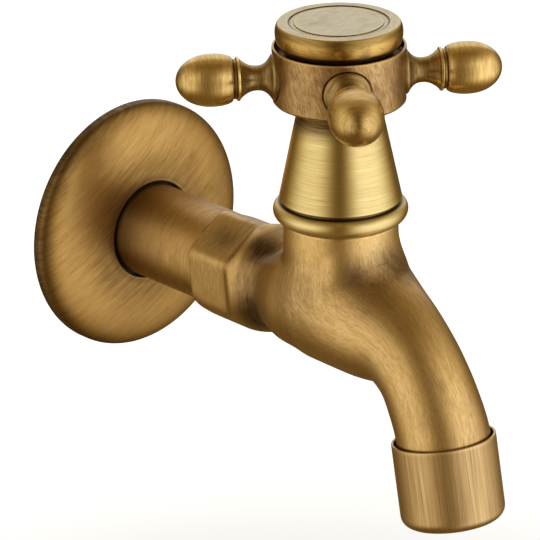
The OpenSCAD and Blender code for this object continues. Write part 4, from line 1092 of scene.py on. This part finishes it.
def camera():
    """Camera at the photograph's viewing angle: a metre away, with a long lens and a slight roll."""
    roll = math.radians(CAMERA_ROLL)
    back = np.array(aim(CAMERA_TURN, CAMERA_RISE))
    right = np.array(aim(CAMERA_TURN + 90))
    up = np.cross(back, right)
    rolled_right = math.cos(roll) * right + math.sin(roll) * up
    rolled_up = math.cos(roll) * up - math.sin(roll) * right
    eye = np.array(CAMERA_AT) + back * CAMERA_AWAY
    data = bpy.data.cameras.new("camera")
    data.sensor_width = 36.0
    data.lens = LENS
    data.clip_start, data.clip_end = 0.05, 20.0
    obj = linked("camera", data)
    rows = np.column_stack([rolled_right, rolled_up, back, eye])
    obj.matrix_world = Matrix([*rows.tolist(), [0, 0, 0, 1]])
    bpy.context.scene.camera = obj


camera()
studio_light()
floor()

# Above the bend the neck takes a paler gold: a painted highlight.
body_brass = brushed_brass(
    "antique_body_brass", ANTIQUE, rough=0.34, anisotropic=0.35, fine=(3.6, 3.6, 0.6),
    coarse=(0.8, 0.8, 0.16), contrast=0.58, depth=0.016, patina=(70.0, 0.52, 0.8), patina_share=0.42,
    rosy_share=0.6, top=(19.5, 7.0, NECK_GOLD_HIGHLIGHT))
flange_brass = brushed_brass(
    "antique_flange_brass", FLANGE, rough=0.38, anisotropic=0.5, fine=(0.2, 0.2, 3.8),
    coarse=(0.07, 0.07, 0.8), contrast=0.46, depth=0.012, patina=(60.0, 0.5, 0.8), patina_share=0.42,
    rosy_share=0.5)
sleeve_brass = brushed_brass(
    "antique_sleeve_brass", SLEEVE, rough=0.34, anisotropic=0.5, fine=(0.2, 0.2, 3.2),
    coarse=(0.1, 0.1, 0.8), contrast=0.5, depth=0.016, patina=(110.0, 0.5, 0.8), patina_share=0.45,
    rosy_share=0.5)
bell_brass = brushed_brass(
    "pale_bonnet_brass", PALE, rough=0.31, anisotropic=0.6, fine=(0.08, 0.08, 3.6),
    coarse=(0.05, 0.05, 1.3), contrast=0.4, depth=0.010, patina=(60.0, 0.62, 0.95), patina_share=0.15,
    rosy_share=0.2)
nozzle_brass = brushed_brass(
    "pale_nozzle_brass", NOZZLE, rough=0.36, anisotropic=0.5, fine=(4.2, 4.2, 0.05),
    coarse=(1.3, 1.3, 0.03), contrast=0.64, depth=0.016, patina=(60.0, 0.62, 0.95), patina_share=0.15,
    rosy_share=0.4)
hub_brass = brushed_brass(
    "coppery_hub_brass", COPPERY, rough=0.30, anisotropic=0.4, fine=(3.4, 3.4, 0.55),
    coarse=(1.2, 1.2, 0.3), contrast=0.85, depth=0.018, patina=(130.0, 0.46, 0.76), patina_share=0.45,
    rosy_share=0.5)
arm_brass = brushed_brass(
    "antique_arm_brass", ARM, rough=0.26, anisotropic=0.6, fine=(0.25, 0.25, 3.6),
    coarse=(0.15, 0.15, 1.3), contrast=0.6, depth=0.014, patina=(90.0, 0.55, 0.85), patina_share=0.4,
    rosy_share=0.3)
# Above the groove floor the cap and plate take the champagne colour: a painted reflection of the ceiling.
cap_brass = brushed_brass(
    "antique_cap_brass", CAP, rough=0.25, anisotropic=0.3, fine=(0.3, 0.3, 3.0),
    coarse=(0.25, 0.25, 1.0), contrast=0.34, depth=0.010, patina=(170.0, 0.42, 0.74), patina_share=0.6,
    rosy_share=0.3, top=(GROOVE_FLOOR, 0.25, CHAMPAGNE_REFLECTION))

tap_casting(body_brass)
wall_flange(flange_brass)
cover_sleeve(sleeve_brass)
nozzle_shell(nozzle_brass)
bonnet_ring(bell_brass)
bonnet_bell(bell_brass)
handle_hub(hub_brass)
handle_arm("arm_front", -125, arm_brass, 6.4, 38.9)
for arm_name, arm_angle in (("arm_right", -35), ("arm_back", 55), ("arm_left", 145)):
    handle_arm(arm_name, arm_angle, arm_brass)
index_cap(cap_brass)
index_plate(cap_brass)
dress_inner_parts()

bpy.context.scene.view_settings.view_transform = "Standard"
